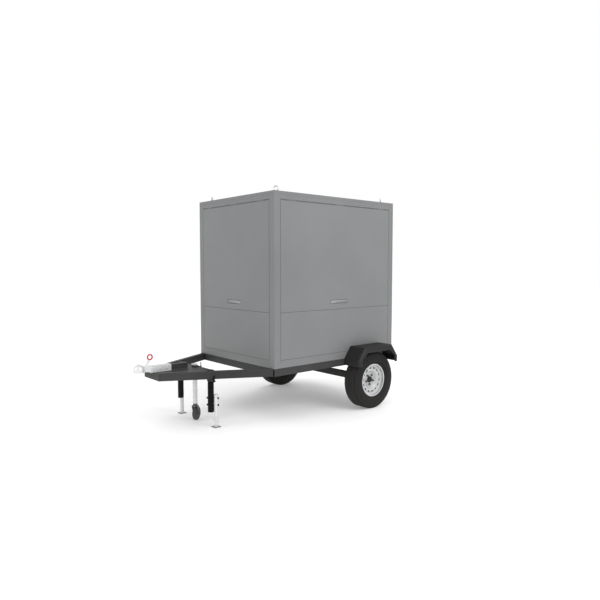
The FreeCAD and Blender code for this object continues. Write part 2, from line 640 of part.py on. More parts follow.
def prop_stands(clamps):
    """Two clamped posts with a bolted leg and foot plate each."""
    for sign, side in (("+", "left"), ("-", "right")):
        out = signed(sign, "stand_out")
        collar = rod("z", ("stand", out), ("rail_low - 34", "plate_low"),
                     "stand_radius + fit_gap + collar_wall")
        bore = rod("z", ("stand", out), ("rail_low - 50", "deck_hgt"), "stand_radius + fit_gap")
        arm = block(("stand - 22", "stand + 22"), sided(sign, "stand_out", "leg_in"),
                    ("rail_low", "rail_low + 44"))
        boss = aimed(sign, block(("0", "stand_radius + collar_wall + 18"),
                                 ("-clamp_screw - 7", "clamp_screw + 7"),
                                 ("-clamp_screw - 8", "clamp_screw + 2")),
                     "clamp_turn", ("stand", out, "clamp_z"))
        thread = aimed(sign, rod("x", ("0", "0"), ("0", "clamp_reach"), "clamp_screw + run_gap"),
                       "clamp_turn", ("stand", out, "clamp_z"))
        clamps.append(cut(fuse(collar, arm, boss), bore, thread))
        screw = fuse(rod("x", ("0", "0"), ("stand_radius + 1", "clamp_reach + 30"), "clamp_screw"),
                     rod("z", ("clamp_reach", "0"), ("clamp_slip - clamp_bar / 2",
                                                     "clamp_slip + clamp_bar / 2"), "clamp_screw"))
        piece("stand_screw_" + side, aimed(sign, screw, "clamp_turn", ("stand", out, "clamp_z")))

        foot_y = signed(sign, "stand_out + foot_out")
        leg = rod("z", ("stand - foot_back", foot_y), ("foot_thick - 1", "deck_hgt - foot_top"),
                  "foot_radius")
        sole = block(("-foot_plate / 2", "foot_plate / 2"), ("-foot_plate / 2", "foot_plate / 2"),
                     ("0", "foot_thick"))
        sole = put(sole, 0, ("stand - foot_back", foot_y, "0"))
        bolts = [through_bolt(sign, out, drop) for drop in ("foot_top + 40", "foot_top + 110")]
        piece("stand_leg_" + side, fuse(leg, sole, *bolts))
        post = rod("z", ("stand", out), (f"deck_hgt - post_low_{side}", "deck_hgt - 2"),
                   "stand_radius")
        stud = rod("y", ("stand", "deck_hgt - stud_drop"),
                   sided(sign, "stand_out", "stand_out + stand_radius + 5"), "clamp_screw")
        piece("stand_post_" + side, cut(fuse(post, stud), *bolts))
    piece("drawbar_clamps", *clamps)


def through_bolt(sign, out, drop):
    """A bolt through a prop stand's post and leg, with a spacer between them."""
    gap = "sqrt(foot_back^2 + foot_out^2)"
    parts = [rod("x", ("0", "0"), ("-stand_radius - 12", f"{gap} + foot_radius + 12"),
                 "screw_radius"),
             rod("x", ("0", "0"), ("-stand_radius - 9", "-stand_radius - 0.5"),
                 "screw_radius * 1.7"),
             rod("x", ("0", "0"), ("stand_radius + 0.5", f"{gap} - foot_radius / 2"),
                 "screw_radius * 1.7"),
             rod("x", ("0", "0"), (f"{gap} + foot_radius - 2", f"{gap} + foot_radius + 8"),
                 "screw_radius * 1.7")]
    return aimed(sign, fuse(*parts), "180 deg - atan(foot_out / foot_back)",
                 ("stand", out, f"deck_hgt - ({drop})"))


# ---------------------------------------------------------------- axle and wheels
def suspension():
    """A beam axle under two rubber springs, each between a chassis bracket and a seat."""
    plate_z = ("rail_low - mount_plate", "rail_low")
    seat_top = "beam_top + mount_plate"
    along = ("axle - mount_len / 2", "axle + mount_len / 2")
    across = ("mount_y - mount_wid / 2", "mount_y + mount_wid / 2")
    brackets = []
    springs = []
    seats = []
    for sign in "+-":
        brackets.append(block(along, sided(sign, *across), plate_z))
        for end in along:
            inward = "8" if end == along[0] else "-8"
            brackets.append(block((f"{end} + {inward} - 4", f"{end} + {inward} + 4"),
                                  sided(sign, *across), ("rail_low - 40", plate_z[0])))
        seats.append(block(along, sided(sign, *across), ("beam_top", seat_top)))
        tall = "(rail_low - 2 * mount_plate - beam_top)"
        outline = [(0, 0.78), (0.12, 0.92), (0.3, 1), (0.44, 0.86), (0.5, 0.76), (0.56, 0.86),
                   (0.7, 1), (0.88, 0.92), (1, 0.78)]
        rubber = turned([("0", "0")] + [(f"block_radius * {out}", f"{tall} * {up}")
                                        for up, out in outline] + [("0", tall)],
                        "XZ_Plane", "V_Axis")
        springs.append(tie(rubber, at=("axle", signed(sign, "mount_y"), seat_top)))
    piece("axle_brackets", *brackets)
    piece("axle_springs", *springs)

    beam = block(("axle - axle_beam / 2", "axle + axle_beam / 2"), ("-half + 20", "half - 20"),
                 ("beam_mid - axle_beam / 2", "beam_top"))
    ends = [rod("y", ("axle", "hub"), sided(sign, "half - 20", "track + hub_face - 14"),
                "spindle") for sign in "+-"]
    flanges = [rod("y", ("axle", "hub"), sided(sign, "half - 20", "half - 2"), "spindle * 2")
               for sign in "+-"]
    drums = [rod("y", ("axle", "hub"), sided(sign, "half - 2", "track - 68.5"), "drum_radius")
             for sign in "+-"]
    piece("axle_beam", fuse(beam, *ends, *flanges, *drums, *seats))


def wheels():
    """A tyre and a dished disc wheel on each end of the axle."""
    bead = "rim_dia / 2"
    crown = "wheel_dia / 2"
    wide = "tyre_wid / 2"
    foot = f"{wide} * 0.76"
    tall = f"({crown} - {bead})"
    tread = [(f"-{foot}", f"{bead} + 0.5"), (f"-{foot}", f"{bead} + rim_flange + 2"),
             (f"-{wide} * 0.86", f"{bead} + rim_flange + 12"), (f"-{wide}", f"{bead} + {tall} * 0.42"),
             (f"-{wide} * 0.97", f"{bead} + {tall} * 0.66"),
             (f"-{wide} * 0.86", f"{crown} - {tall} * 0.095"),
             (f"-{wide} * 0.7", f"{crown} - {tall} * 0.02"), (f"-{wide} * 0.4", crown)]
    tread += [(across[1:], up) for across, up in reversed(tread)]
    seat = f"{bead} - rim_sheet"
    well = f"{bead} - 26"
    inside = f"{well} - rim_sheet"
    lip = f"({foot} + rim_sheet)"
    outer = [(f"{wide} * 0.4", well), (f"{wide} * 0.5", bead), (foot, bead),
             (foot, f"{bead} + rim_flange"), (lip, f"{bead} + rim_flange"), (lip, seat),
             (f"{wide} * 0.5", seat), (f"{wide} * 0.4", inside)]
    disc = [("32", inside), ("39", "142"), ("41", "137"), ("41", "122"), ("30", "98"),
            ("15", "82"), ("10", "74"), ("10", "hub_radius")]
    back = [("10 - rim_sheet", "hub_radius"), ("10 - rim_sheet", "76"),
            ("15 - rim_sheet", "85"), ("30 - rim_sheet", "101"), ("41 - rim_sheet", "124"),
            ("41 - rim_sheet", "136"), ("35", "140"), ("26", inside)]
    inner = [(f"-{wide} * 0.2", inside), (f"-{wide} * 0.3", seat), (f"-{lip}", seat),
             (f"-{lip}", f"{bead} + rim_flange"), (f"-{foot}", f"{bead} + rim_flange"),
             (f"-{foot}", bead), (f"-{wide} * 0.3", bead), (f"-{wide} * 0.2", well)]
    rim = outer + disc + back + inner
    for sign, side in (("+", "left"), ("-", "right")):
        turn = 0 if sign == "+" else 180
        centre = ("axle", signed(sign, "track"), "hub")
        piece("tyre_" + side, put(turned(tread), turn, centre))
        slots = [around(index, 14, block(("-14", "14"), ("20", "60"),
                                         ("slot_ring - 7", "slot_ring + 7")), 7)
                 for index in range(14)]
        hub = cut(rod("y", ("0", "0"), ("-66", "hub_face"), "hub_radius"),
                  rod("y", ("0", "0"), ("-67", "hub_face - 12"), "spindle + run_gap"))
        nuts = [around(index, 5, rod("y", ("bolt_ring", "0"), ("8", "24"), "10"), 18)
                for index in range(5)]
        wheel = fuse(cut(turned(rim), *slots), hub, *nuts)
        piece("rim_" + side, put(wheel, turn, centre))


def around(index, count, thing, start):
    """A copy turned about the wheel's axle, one of count evenly spaced from a start angle."""
    holder = doc.addObject("Part::Compound", "Around")
    holder.Links = [thing]
    holder.Placement = Placement(Vector(), Rotation(Vector(0, 1, 0), start + 360 * index / count))
    return holder


def mudguards():
    def shape(inset, skirt):
        wide = f"guard_half - {inset}"
        flat = f"guard_flat - {inset} * 0.7"
        return [(f"-({wide})", f"-guard_drop - {skirt}"), (wide, f"-guard_drop - {skirt}"),
                (wide, "0"), (flat, f"guard_rise - {inset}"), (f"-({flat})", f"guard_rise - {inset}"),
                (f"-({wide})", "0")]
    guards = []
    for sign in "+-":
        outer = slab("XZ_Plane", shape("0", "0"), *sided(sign, "half", "half + guard_wid"))
        softened(outer, "guard_round", face_edges(sign, number("half + guard_wid"),
                                                  -SIZES["guard_drop"]))
        inner = slab("XZ_Plane", shape("guard_skin", "1"),
                     *sided(sign, "half - 1", "half + guard_wid - guard_skin"))
        softened(inner, "guard_round - guard_skin",
                 face_edges(sign, number("half + guard_wid - guard_skin"),
                            -SIZES["guard_drop"] - 1))
        mouth = slab("XZ_Plane", shape("guard_lip", "1"),
                     *sided(sign, "half", "half + guard_wid + 1"))
        for tool in (outer, inner, mouth):
            tie(tool, at=("axle - guard_back", "0", "deck_hgt"))
        guards.append(cut(outer, inner, mouth))
    piece("mudguards", *guards)


def face_edges(sign, out, low):
    """A test for the edges of a mudguard's outer face, all but the lowest one."""
    place = out if sign == "+" else -out

    def pick(edge):
        ends = [vertex.Point for vertex in edge.Vertexes]
        return (all(abs(end.y - place) < 0.01 for end in ends) and
                not all(abs(end.z - low) < 0.01 for end in ends))
    return pick


# ---------------------------------------------------------------- canopy
SIDES = {
    "front": (0, "canopy_wid / 2 - post_wid", ("front", "0", "0")),
    "left": (90, "canopy_len / 2 - post_wid", ("middle", "half", "0")),
    "right": (-90, "canopy_len / 2 - post_wid", ("middle", "-half", "0")),
    "rear": (180, "canopy_wid / 2 - post_wid", ("rear", "0", "0")),
}


def on_side(side, thing):
    """Turns a thing made facing +X, with its face at x = 0, on to one side of the canopy."""
    turn, _, at = SIDES[side]
    return put(thing, turn, at)


def hollow(x, y, z, wall, ends=False):
    """A thin-walled box, open at its y ends unless ends is set."""
    inner_y = (f"{y[0]} + {wall}", f"{y[1]} - {wall}") if ends else (f"{y[0]} - 1", f"{y[1]} + 1")
    return cut(block(x, y, z), block((f"{x[0]} + {wall}", f"{x[1]} - {wall}"), inner_y,
                                     (f"{z[0]} + {wall}", f"{z[1]} - {wall}")))


def canopy_frame():
    sills = []
    rails = []
    for side in SIDES:
        reach = SIDES[side][1]
        span = (f"-({reach})", reach)
        sills.append(on_side(side, hollow(("-frame_deep", "0"), span,
                                          ("deck_hgt", "deck_hgt + sill_hgt"), "frame_wall")))
        rails.append(on_side(side, hollow(("-frame_deep", "0"), span, ("head", "cap"),
                                          "frame_wall")))
        rails.append(on_side(side, hollow(("-door_deep - 3 - frame_deep", "-door_deep - 3"), span,
                                          ("seam - 45", "seam + 12"), "frame_wall")))
    piece("sill_frame", *sills)
    piece("frame_rails", *rails)
    posts = []
    for turn, at in ((0, ("front", "half", "0")), (90, ("rear", "half", "0")),
                     (180, ("rear", "-half", "0")), (-90, ("front", "-half", "0"))):
        outer = slab("XY_Plane", [("-post_wid", "-post_wid"), ("0", "-post_wid"), ("0", "0"),
                                  ("-post_wid", "0")], "deck_hgt", "cap")
        softened(outer, "post_round", upright_at([(0, 0)]))
        inner = slab("XY_Plane", [("post_wall - post_wid", "post_wall - post_wid"),
                                  ("-post_wall", "post_wall - post_wid"),
                                  ("-post_wall", "-post_wall"),
                                  ("post_wall - post_wid", "-post_wall")],
                     "deck_hgt - 1", "cap + 1")
        softened(inner, "post_round - post_wall", upright_at([(-SIZES["post_wall"],) * 2]))
        posts.append(put(cut(outer, inner), turn, at))
    piece("corner_posts", *posts)


def roof():
    def plate(inset, low, high):
        long, wide = f"canopy_len / 2 - {inset}", f"canopy_wid / 2 - {inset}"
        corners = [(f"-({long})", f"-({wide})"), (long, f"-({wide})"), (long, wide),
                   (f"-({long})", wide)]
        body = slab("XY_Plane", corners, low, high)
        spots = [(number(x), number(y)) for x, y in corners]
        softened(body, f"post_round - {inset}", upright_at(spots))
        return body
    shell = plate("0", "cap", "roof")
    height = number("roof")
    softened(shell, "roof_edge", lambda edge: all(abs(v.Point.z - height) < 0.01 for v in edge.Vertexes))
    room = plate("cap_wall", "cap - 1", "roof - cap_wall")
    tie(shell, at=("middle", "0", "0"))
    tie(room, at=("middle", "0", "0"))
    outlet = block(("front - grille_back - grille_len", "front - grille_back"),
                   ("-grille_wid / 2", "grille_wid / 2"), ("cap - 2", "roof + 1"))
    piece("roof_cap", cut(shell, room, outlet))

    grille_low = "front - grille_back - grille_len"
    rim = cut(block((f"{grille_low} + 1", "front - grille_back - 1"),
                    ("-grille_wid / 2 + 1", "grille_wid / 2 - 1"), ("cap", "roof")),
              block((f"{grille_low} + 9", "front - grille_back - 9"),
                    ("-grille_wid / 2 + 9", "grille_wid / 2 - 9"), ("cap - 1", "roof + 1")))
    bars = [block((f"{grille_low} + {20 + 33.5 * index}", f"{grille_low} + {28 + 33.5 * index}"),
                  ("-grille_wid / 2 + 9", "grille_wid / 2 - 9"), ("cap + 4", "roof - 4"))
            for index in range(12)]
    piece("roof_grille", fuse(rim, *bars))

    eyes = []
    for x, y, turn in (("front - eye_inset", "half - eye_inset", 45),
                       ("rear + eye_inset", "half - eye_inset", 135),
                       ("rear + eye_inset", "-half + eye_inset", 225),
                       ("front - eye_inset", "-half + eye_inset", -45)):
        pad = rod("z", ("0", "0"), ("0", "9"), "20")
        loop = ring(("0", "0", "9 + eye_radius + eye_bar - 2"), "eye_radius", "eye_bar",
                    AIM["x"])
        eyes.append(put(fuse(pad, loop), turn, (x, y, "roof")))
    piece("lifting_eyes", *eyes)


def pan(reach, low, high, deep):
    """A folded sheet pan: a face with four returns, open inwards."""
    edge = f"({reach} - seam_gap)"
    outer = block((f"-{deep}", "0"), (f"-{edge}", edge), (low, high))
    inner = block((f"-{deep} - 1", "-skin"), (f"-{edge} + skin", f"{edge} - skin"),
                  (f"{low} + skin", f"{high} - skin"))
    return outer, inner


def louvres(reach, low, high):
    """Three columns of intake slots through a panel, between two heights."""
    slots = []
    count = 7
    for column in (-1, 0, 1):
        centre = f"{column} * ({reach}) * 0.62"
        for row in range(count):
            z = f"({low}) + (({high}) - ({low})) * {(row + 1) / (count + 1):.4f}"
            slots.append(block(("-4", "1"), (f"{centre} - 150", f"{centre} + 150"),
                               (f"{z} - 7", f"{z} + 7")))
    return slots


def panels():
    fixed = []
    for side in SIDES:
        reach = SIDES[side][1]
        low, high = "deck_hgt + sill_hgt + seam_gap", "seam - seam_gap / 2"
        outer, inner = pan(reach, low, high, "panel_deep")
        slots = louvres(reach, low, high) if side == "rear" else []
        fixed.append(on_side(side, cut(outer, inner, *slots)))
    low, high = "seam + seam_gap / 2", "head - seam_gap"
    reach = SIDES["rear"][1]
    outer, inner = pan(reach, low, high, "panel_deep")
    fixed.append(on_side("rear", cut(outer, inner, *louvres(reach, low, high))))
    piece("fixed_panels", *fixed)
    lamps = []
    for sign in "+-":
        lamps.append(block(("rear", "rear + 60"), sided(sign, "half - 330", "half - 100"),
                           ("rail_low - 90", "rail_low")))
    plate = block(("rear + 2", "rear + 10"), ("-260", "260"), ("rail_low - 120", "rail_low"))
    piece("rear_lamps", *lamps, plate)


def hinge_places(reach):
    return ("0", f"-({reach}) + hinge_inset", f"{reach} - hinge_inset")


def doors():
    leaves = []
    for side in ("left", "right", "front"):
        reach = SIDES[side][1]
        leaves += door(side, reach)
        leaves += strut(side, reach)
    piece("door_hinges", *leaves)


def door(side, reach):
    """One top-hinged door with its flush bar handle; returns the hinge leaves of the frame."""
    outer, inner = pan(reach, "seam + seam_gap / 2", "door_top", "door_deep")
    dish_y = ("-handle_len / 2 - recess_gap - skin", "handle_len / 2 + recess_gap + skin")
    dish_z = ("grip - handle_hgt / 2 - recess_gap - skin", "grip + handle_hgt / 2 + recess_gap + skin")
    dish = block(("-recess_deep", "-1"), dish_y, dish_z)
    hole = block(("-recess_deep + skin", "1"), (f"{dish_y[0]} + skin", f"{dish_y[1]} - skin"),
                 (f"{dish_z[0]} + skin", f"{dish_z[1]} - skin"))
    parts = []
    leaves = []
    bores = []
    for place in hinge_places(reach):
        third = ("hinge_len / 6", "hinge_len / 2")
        inner_span = (f"{place} - {third[0]} + 0.5", f"{place} + {third[0]} - 0.5")
        knuckle = rod("y", ("-hinge_radius", "hinge"), inner_span, "hinge_radius")
        web = block(("-hinge_radius * 2", "-hinge_radius"), inner_span, ("door_top - 2", "hinge"))
        parts += [knuckle, web]
        bores.append(rod("y", ("-hinge_radius", "hinge"),
                         (f"{place} - hinge_len", f"{place} + hinge_len"), "hinge_pin + run_gap"))
        pins = [rod("y", ("-hinge_radius", "hinge"),
                    (f"{place} - {third[1]} + 1", f"{place} + {third[1]} - 1"), "hinge_pin")]
        for low, high in ((f"{place} - {third[1]}", f"{place} - {third[0]}"),
                          (f"{place} + {third[0]}", f"{place} + {third[1]}")):
            pins.append(rod("y", ("-hinge_radius", "hinge"), (low, high), "hinge_radius"))
            pins.append(block(("-hinge_radius * 2", "-hinge_radius"), (low, high),
                              ("hinge", "head")))
        leaves.append(on_side(side, fuse(*pins)))
    bracket_z = "hinge - strut_high"
    for sign in "+-":
        span = sided(sign, f"{reach} - strut_side - strut_radius - 11",
                     f"{reach} - strut_side - strut_radius - 5")
        parts.append(block(("-strut_back - 10", "-1"), span,
                           (f"{bracket_z} - 14", f"{bracket_z} + 14")))
    shell = fuse(cut(outer, inner), dish, *parts)
    piece("door_" + side, on_side(side, cut(shell, hole, *bores)))

    bar = block(("-handle_thick", "0"), ("-handle_len / 2", "handle_len / 2"),
                ("grip - handle_hgt / 2", "grip + handle_hgt / 2"))
    pin = rod("y", ("-(handle_thick - 2)", "grip + 10"),
              ("-handle_len / 2 - 3", "handle_len / 2 + 3"), "strut_rod / 2")
    piece("handle_" + side, on_side(side, fuse(bar, pin)))
    return leaves


def strut(side, reach):
    """A pair of gas struts beside a door: cylinders on the posts, rods to the door.
    Returns the studs on the posts."""
    tubes = []
    rods = []
    studs = []
    for sign in "+-":
        y = signed(sign, f"{reach} - strut_side")
        low = "hinge - strut_low"
        wide = sided(sign, f"{reach} - strut_side - strut_radius + 3",
                     f"{reach} - strut_side + strut_radius - 3")
        barrel = rod("z", ("-strut_back", y), (f"{low} + 14", f"{low} + strut_tube"),
                     "strut_radius")
        bore = rod("z", ("-strut_back", y), (f"{low} + 30", f"{low} + strut_tube + 1"),
                   "strut_rod + run_gap")
        eye = rod("y", ("-strut_back", low), wide, "strut_radius")
        neck = block(("-strut_back - 6", "-strut_back + 6"), wide, (low, f"{low} + 16"))
        pivot = sided(sign, f"{reach} - strut_side - strut_radius", reach)
        hole = rod("y", ("-strut_back", low), pivot, "strut_rod + run_gap")
        tubes.append(cut(fuse(barrel, eye, neck), bore, hole))
        foot = block(("-strut_back - 12", "-strut_back + 12"),
                     sided(sign, f"{reach} - 5", reach), (f"{low} - 26", f"{low} + 26"))
        studs.append(on_side(side, fuse(rod("y", ("-strut_back", low), pivot, "strut_rod"), foot)))
        high = "hinge - strut_high"
        rods.append(fuse(rod("z", ("-strut_back", y),
                             (f"{low} + strut_tube - strut_engage", f"{high}"), "strut_rod"),
                         rod("y", ("-strut_back", high), wide, "strut_radius - 1")))
    piece("strut_tubes_" + side, on_side(side, group(*tubes)))
    piece("strut_rods_" + side, on_side(side, group(*rods)))
    return studs


# ---------------------------------------------------------------- generating set
def base_tank():
    filler = ("middle + filler_ahead", "half - tank_in - 30")
    body = block(("rear + 90", "front - 90"), ("-half + tank_in", "half - tank_in"),
                 ("deck_hgt", "tank_top"))
    neck = rod("z", filler, ("tank_top - 2", "seam + 20"), "cap_radius - 14")
    piece("base_tank", fuse(body, neck))
    piece("fuel_cap", rod("z", filler, ("seam + 20", "seam + 52"), "cap_radius"))


def skid_and_battery():
    """The set's sprung base frame, and the battery in its tray beside the tank."""
    inner, outer = "skid_out - skid_wid / 2", "skid_out + skid_wid / 2"
    rails = [block(("rear + 130", "front - 160"), sided(sign, inner, outer),
                   ("skid_top - skid_hgt", "skid_top")) for sign in "+-"]
    ties = [block((x, f"{x} + 60"), (f"-({inner})", inner),
                  ("skid_top - skid_hgt + 10", "skid_top - 10"))
            for x in ("rear + 180", "fly", "front - 330")]
    mounts = [rod("z", (x, y), ("tank_top", "skid_top - skid_hgt"), "32")
              for x in ("rear + 200", "middle", "front - 230") for y in ("-skid_out", "skid_out")]
    tray_top = "deck_hgt + sill_hgt + 4"
    inside = ("half - tank_in + 10", "half - tank_in + 10 + battery_wid")
    along = ("front - 160 - battery_len", "front - 160")
    tray = cut(block((f"{along[0]} - 10", f"{along[1]} + 10"), ("half - tank_in", "rail_in"),
                     ("deck_hgt", tray_top)),
               block((f"{along[0]} - 4", f"{along[1]} + 4"),
                     ("half - tank_in + 6", "rail_in - 6"), ("deck_hgt - 1", f"{tray_top} - 6")))
    piece("genset_skid", *rails, *ties, *mounts, tray)
    case = block(along, inside, (tray_top, f"{tray_top} + battery_hgt"))
    posts = [rod("z", (x, f"{inside[0]} + 30"),
                 (f"{tray_top} + battery_hgt", f"{tray_top} + battery_hgt + 18"), "9")
             for x in (f"{along[0]} + 50", f"{along[1]} - 50")]
    piece("battery", fuse(case, *posts))


def engine():
    """The diesel: sump, crankcase, head, rocker cover, flywheel housing, feet and manifold."""
    tail = "fly + engine_len"
    deck = "crank_hgt - crank_low + crankcase_hgt"
    sump = block(("fly + 60", f"{tail} - 80"), ("-130", "130"), ("skid_top", "crank_hgt - crank_low"))
    crankcase = block(("fly", tail), ("-crankcase_half", "crankcase_half"),
                      ("crank_hgt - crank_low", deck))
    head = block(("fly + 30", f"{tail} - 30"), ("-140", "120"), (deck, f"{deck} + head_hgt"))
    cover = block(("fly + 50", f"{tail} - 50"), ("-100", "80"),
                  (f"{deck} + head_hgt", f"{deck} + head_hgt + cover_hgt"))
    bell = rod("x", ("0", "crank_hgt"), ("fly - bell_len", "fly"), "stator_radius")
    feet = [block((f"{x} - 45", f"{x} + 45"), sided(sign, "150", "290"),
                  ("skid_top", "crank_hgt - 100"))
            for x in ("fly + 80", f"{tail} - 80") for sign in "+-"]
    timing = block((tail, f"{tail} + 50"), ("-160", "160"), ("crank_hgt - 120", "crank_hgt + 200"))
    shaft = rod("x", ("0", "fan_z"), (f"{tail} + 50", f"{tail} + 90"), "fan_shaft")
    manifold = block(("fly + 60", f"{tail} - 60"), ("-215", "-140"),
                     (f"{deck} + 30", f"{deck} + 100"))
    piece("engine_block", fuse(sump, crankcase, head, cover, bell, timing, shaft, manifold, *feet))

    hub = tube("x", ("0", "fan_z"), ("fan_x - 15", "fan_x + 15"), "fan_hub", "fan_shaft + run_gap")
    blades = [blade(index, 7) for index in range(7)]
    piece("engine_fan", fuse(hub, *blades))

    pipe_y = "-silencer_out"
    drum_z = "roof - silencer_drop"
    drum = ("fly - 60", "fly + 640")
    body = cut(rod("x", (pipe_y, drum_z), drum, "silencer_radius"),
               rod("x", (pipe_y, drum_z), (f"{drum[0]} + silencer_wall", f"{drum[1]} - silencer_wall"),
                   "silencer_radius - silencer_wall"))
    inlet = rod("z", ("fly + 200", "-180"), (f"{deck} + 100", f"{drum_z} - silencer_radius + 8"),
                "pipe_radius * 0.9")
    outlet = rod("x", (pipe_y, drum_z), (f"{drum[1]} - silencer_wall", f"{drum[1]} + 60"),
                 "pipe_radius")
    rise = rod("z", (f"{drum[1]} + 60", pipe_y), (f"{drum_z} - pipe_radius", "roof - 60"),
               "pipe_radius")
    piece("silencer", fuse(body, inlet, outlet, rise))

    cleaner = rod("x", ("cleaner_out", f"{deck} + head_hgt"), ("fly + 80", "fly + 430"),
                  "cleaner_radius")
    strap = block(("fly + 200", "fly + 300"), ("120", "cleaner_out"), (deck, f"{deck} + 60"))
    piece("air_filter", fuse(cleaner, strap))


def blade(index, count):
    """One fan blade, pitched about its own length and turned to its place on the hub."""
    holder = doc.addObject("Part::Compound", "Blade")
    holder.Links = [block(("-3", "3"), ("-32", "32"), ("fan_hub - 12", "fan_radius"))]
    pitch = Rotation(Vector(0, 0, 1), 32)
    turn = Rotation(Vector(1, 0, 0), 360 * index / count)
    holder.Placement = Placement(Vector(), turn * pitch)
    placed = doc.addObject("Part::Compound", "BladePlaced")
    placed.Links = [holder]
    return tie(placed, at=("fan_x", "0", "fan_z"))


def generator():
    stator = rod("x", ("0", "crank_hgt"), ("fly - bell_len - stator_len", "fly - bell_len"),
                 "stator_radius")
    tail = "fly - bell_len - stator_len"
    end_bell = rod("x", ("0", "crank_hgt"), (f"{tail} - end_len", tail), "stator_radius * 0.85")
    plinths = [block((f"{tail} + {start}", f"{tail} + {start} + 100"), ("-290", "290"),
                     ("skid_top", "crank_hgt - 150")) for start in (40, 370)]
    box = block((f"{tail} + 40", f"{tail} + 380"), ("-170", "170"),
                ("crank_hgt + 180", "crank_hgt + 380"))
    piece("generator_end", fuse(stator, end_bell, box, *plinths))


def radiator():
    """The cooler and its fan cowl at the front of the set."""
    face = "front - radiator_back"
    high = "crank_hgt + radiator_high"
    span = ("-radiator_half", "radiator_half")
    low = "skid_top + 45"
    core = cut(block((face, f"{face} + radiator_deep"), span, (low, high)),
               block((f"{face} + 14", f"{face} + radiator_deep - 14"),
                     ("-radiator_half + 14", "radiator_half - 14"), (f"{low} + 10", f"{high} - 10")))
    tanks = [block((f"{face} - 10", f"{face} + radiator_deep + 10"),
                   ("-radiator_half - 10", "radiator_half + 10"), span_z)
             for span_z in ((high, f"{high} + header_tank"), ("skid_top", low))]
    cowl = cut(block((f"{face} - cowl_deep", face), span, (low, high)),
               rod("x", ("0", "fan_z"), (f"{face} - cowl_deep - 1", f"{face} + 1"),
                   "fan_radius + 13"))
    piece("radiator", fuse(core, cowl, *tanks))


def controls():
    """The control cabinet with its sockets, breakers, stop button and key."""
    along = ("cabinet", "cabinet + panel_len")
    low = "crank_hgt + panel_low"
    high = f"{low} + panel_hgt"
    back = "board - panel_deep_box"
    case = block(along, (back, "board"), (low, high))
    legs = [block((x, f"{x} + 40"), (back, f"{back} + 40"), ("tank_top", low))
            for x in (along[0], f"{along[1]} - 40")]
    display = block(("cabinet + 60", "cabinet + 300"), ("board", "board + 8"),
                    (f"{high} - 230", f"{high} - 50"))
    sockets = [rod("y", (f"cabinet + {90 + 120 * index}", f"{low} + 100"),
                   ("board", "board + 34"), "socket_radius") for index in range(4)]
    breakers = block(("cabinet + 60", "cabinet + 470"), ("board", "board + 14"),
                     (f"{low} + 180", f"{low} + 280"))
    button_at = ("cabinet + 390", f"{high} - 100")
    key_at = ("cabinet + 390", f"{high} - 200")
    seat = rod("y", button_at, ("board", "board + 8"), "button_radius + 4")
    guide = rod("y", button_at, ("board - 20", "board + 9"), "8 + run_gap")
    barrel = rod("y", key_at, ("board", "board + 9"), "16")
    keyway = rod("y", key_at, ("board - 20", "board + 10"), "6 + run_gap")
    piece("control_panel", cut(fuse(case, *legs, display, *sockets, breakers, seat, barrel),
                               guide, keyway))
    piece("stop_button", fuse(
        rod("y", button_at, ("board + 9 + button_travel", "board + 25 + button_travel"),
            "button_radius"),
        rod("y", button_at, ("board - 10", "board + 16"), "8")))
    bow = block((f"{key_at[0]} - 3", f"{key_at[0]} + 3"), ("board + 10", "board + 34"),
                (f"{key_at[1]} - 13", f"{key_at[1]} + 13"))
    piece("key_switch", fuse(bow, rod("y", key_at, ("board - 10", "board + 12"), "6")))


chassis()
drawbar()
coupling()
prop_stands([jockey()])
suspension()
wheels()
mudguards()
canopy_frame()
roof()
panels()
doors()
base_tank()
skid_and_battery()
engine()
generator()
radiator()
controls()
doc.recompute()

faults = [thing.Name for thing in doc.Objects
          if "Invalid" in thing.State or "Error" in thing.State]
for thing in pieces:
    if thing.Shape.isNull() or not thing.Shape.isValid() or not thing.Shape.Solids:
        faults.append(thing.Label)
if faults:
    raise RuntimeError("features that failed: " + ", ".join(faults))
os.makedirs("parts", exist_ok=True)
for thing in pieces:
    thing.Shape.exportStep(f"parts/{thing.Label}.step")
print(len(pieces), "sub-parts written")
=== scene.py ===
"""Looks of the towable diesel generator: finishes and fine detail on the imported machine.

Metres throughout, in the machine's own frame: +X to the coupling, +Y to the left, +Z up."""
import json
import math

import bmesh
import bpy
from mathutils import Matrix, Vector

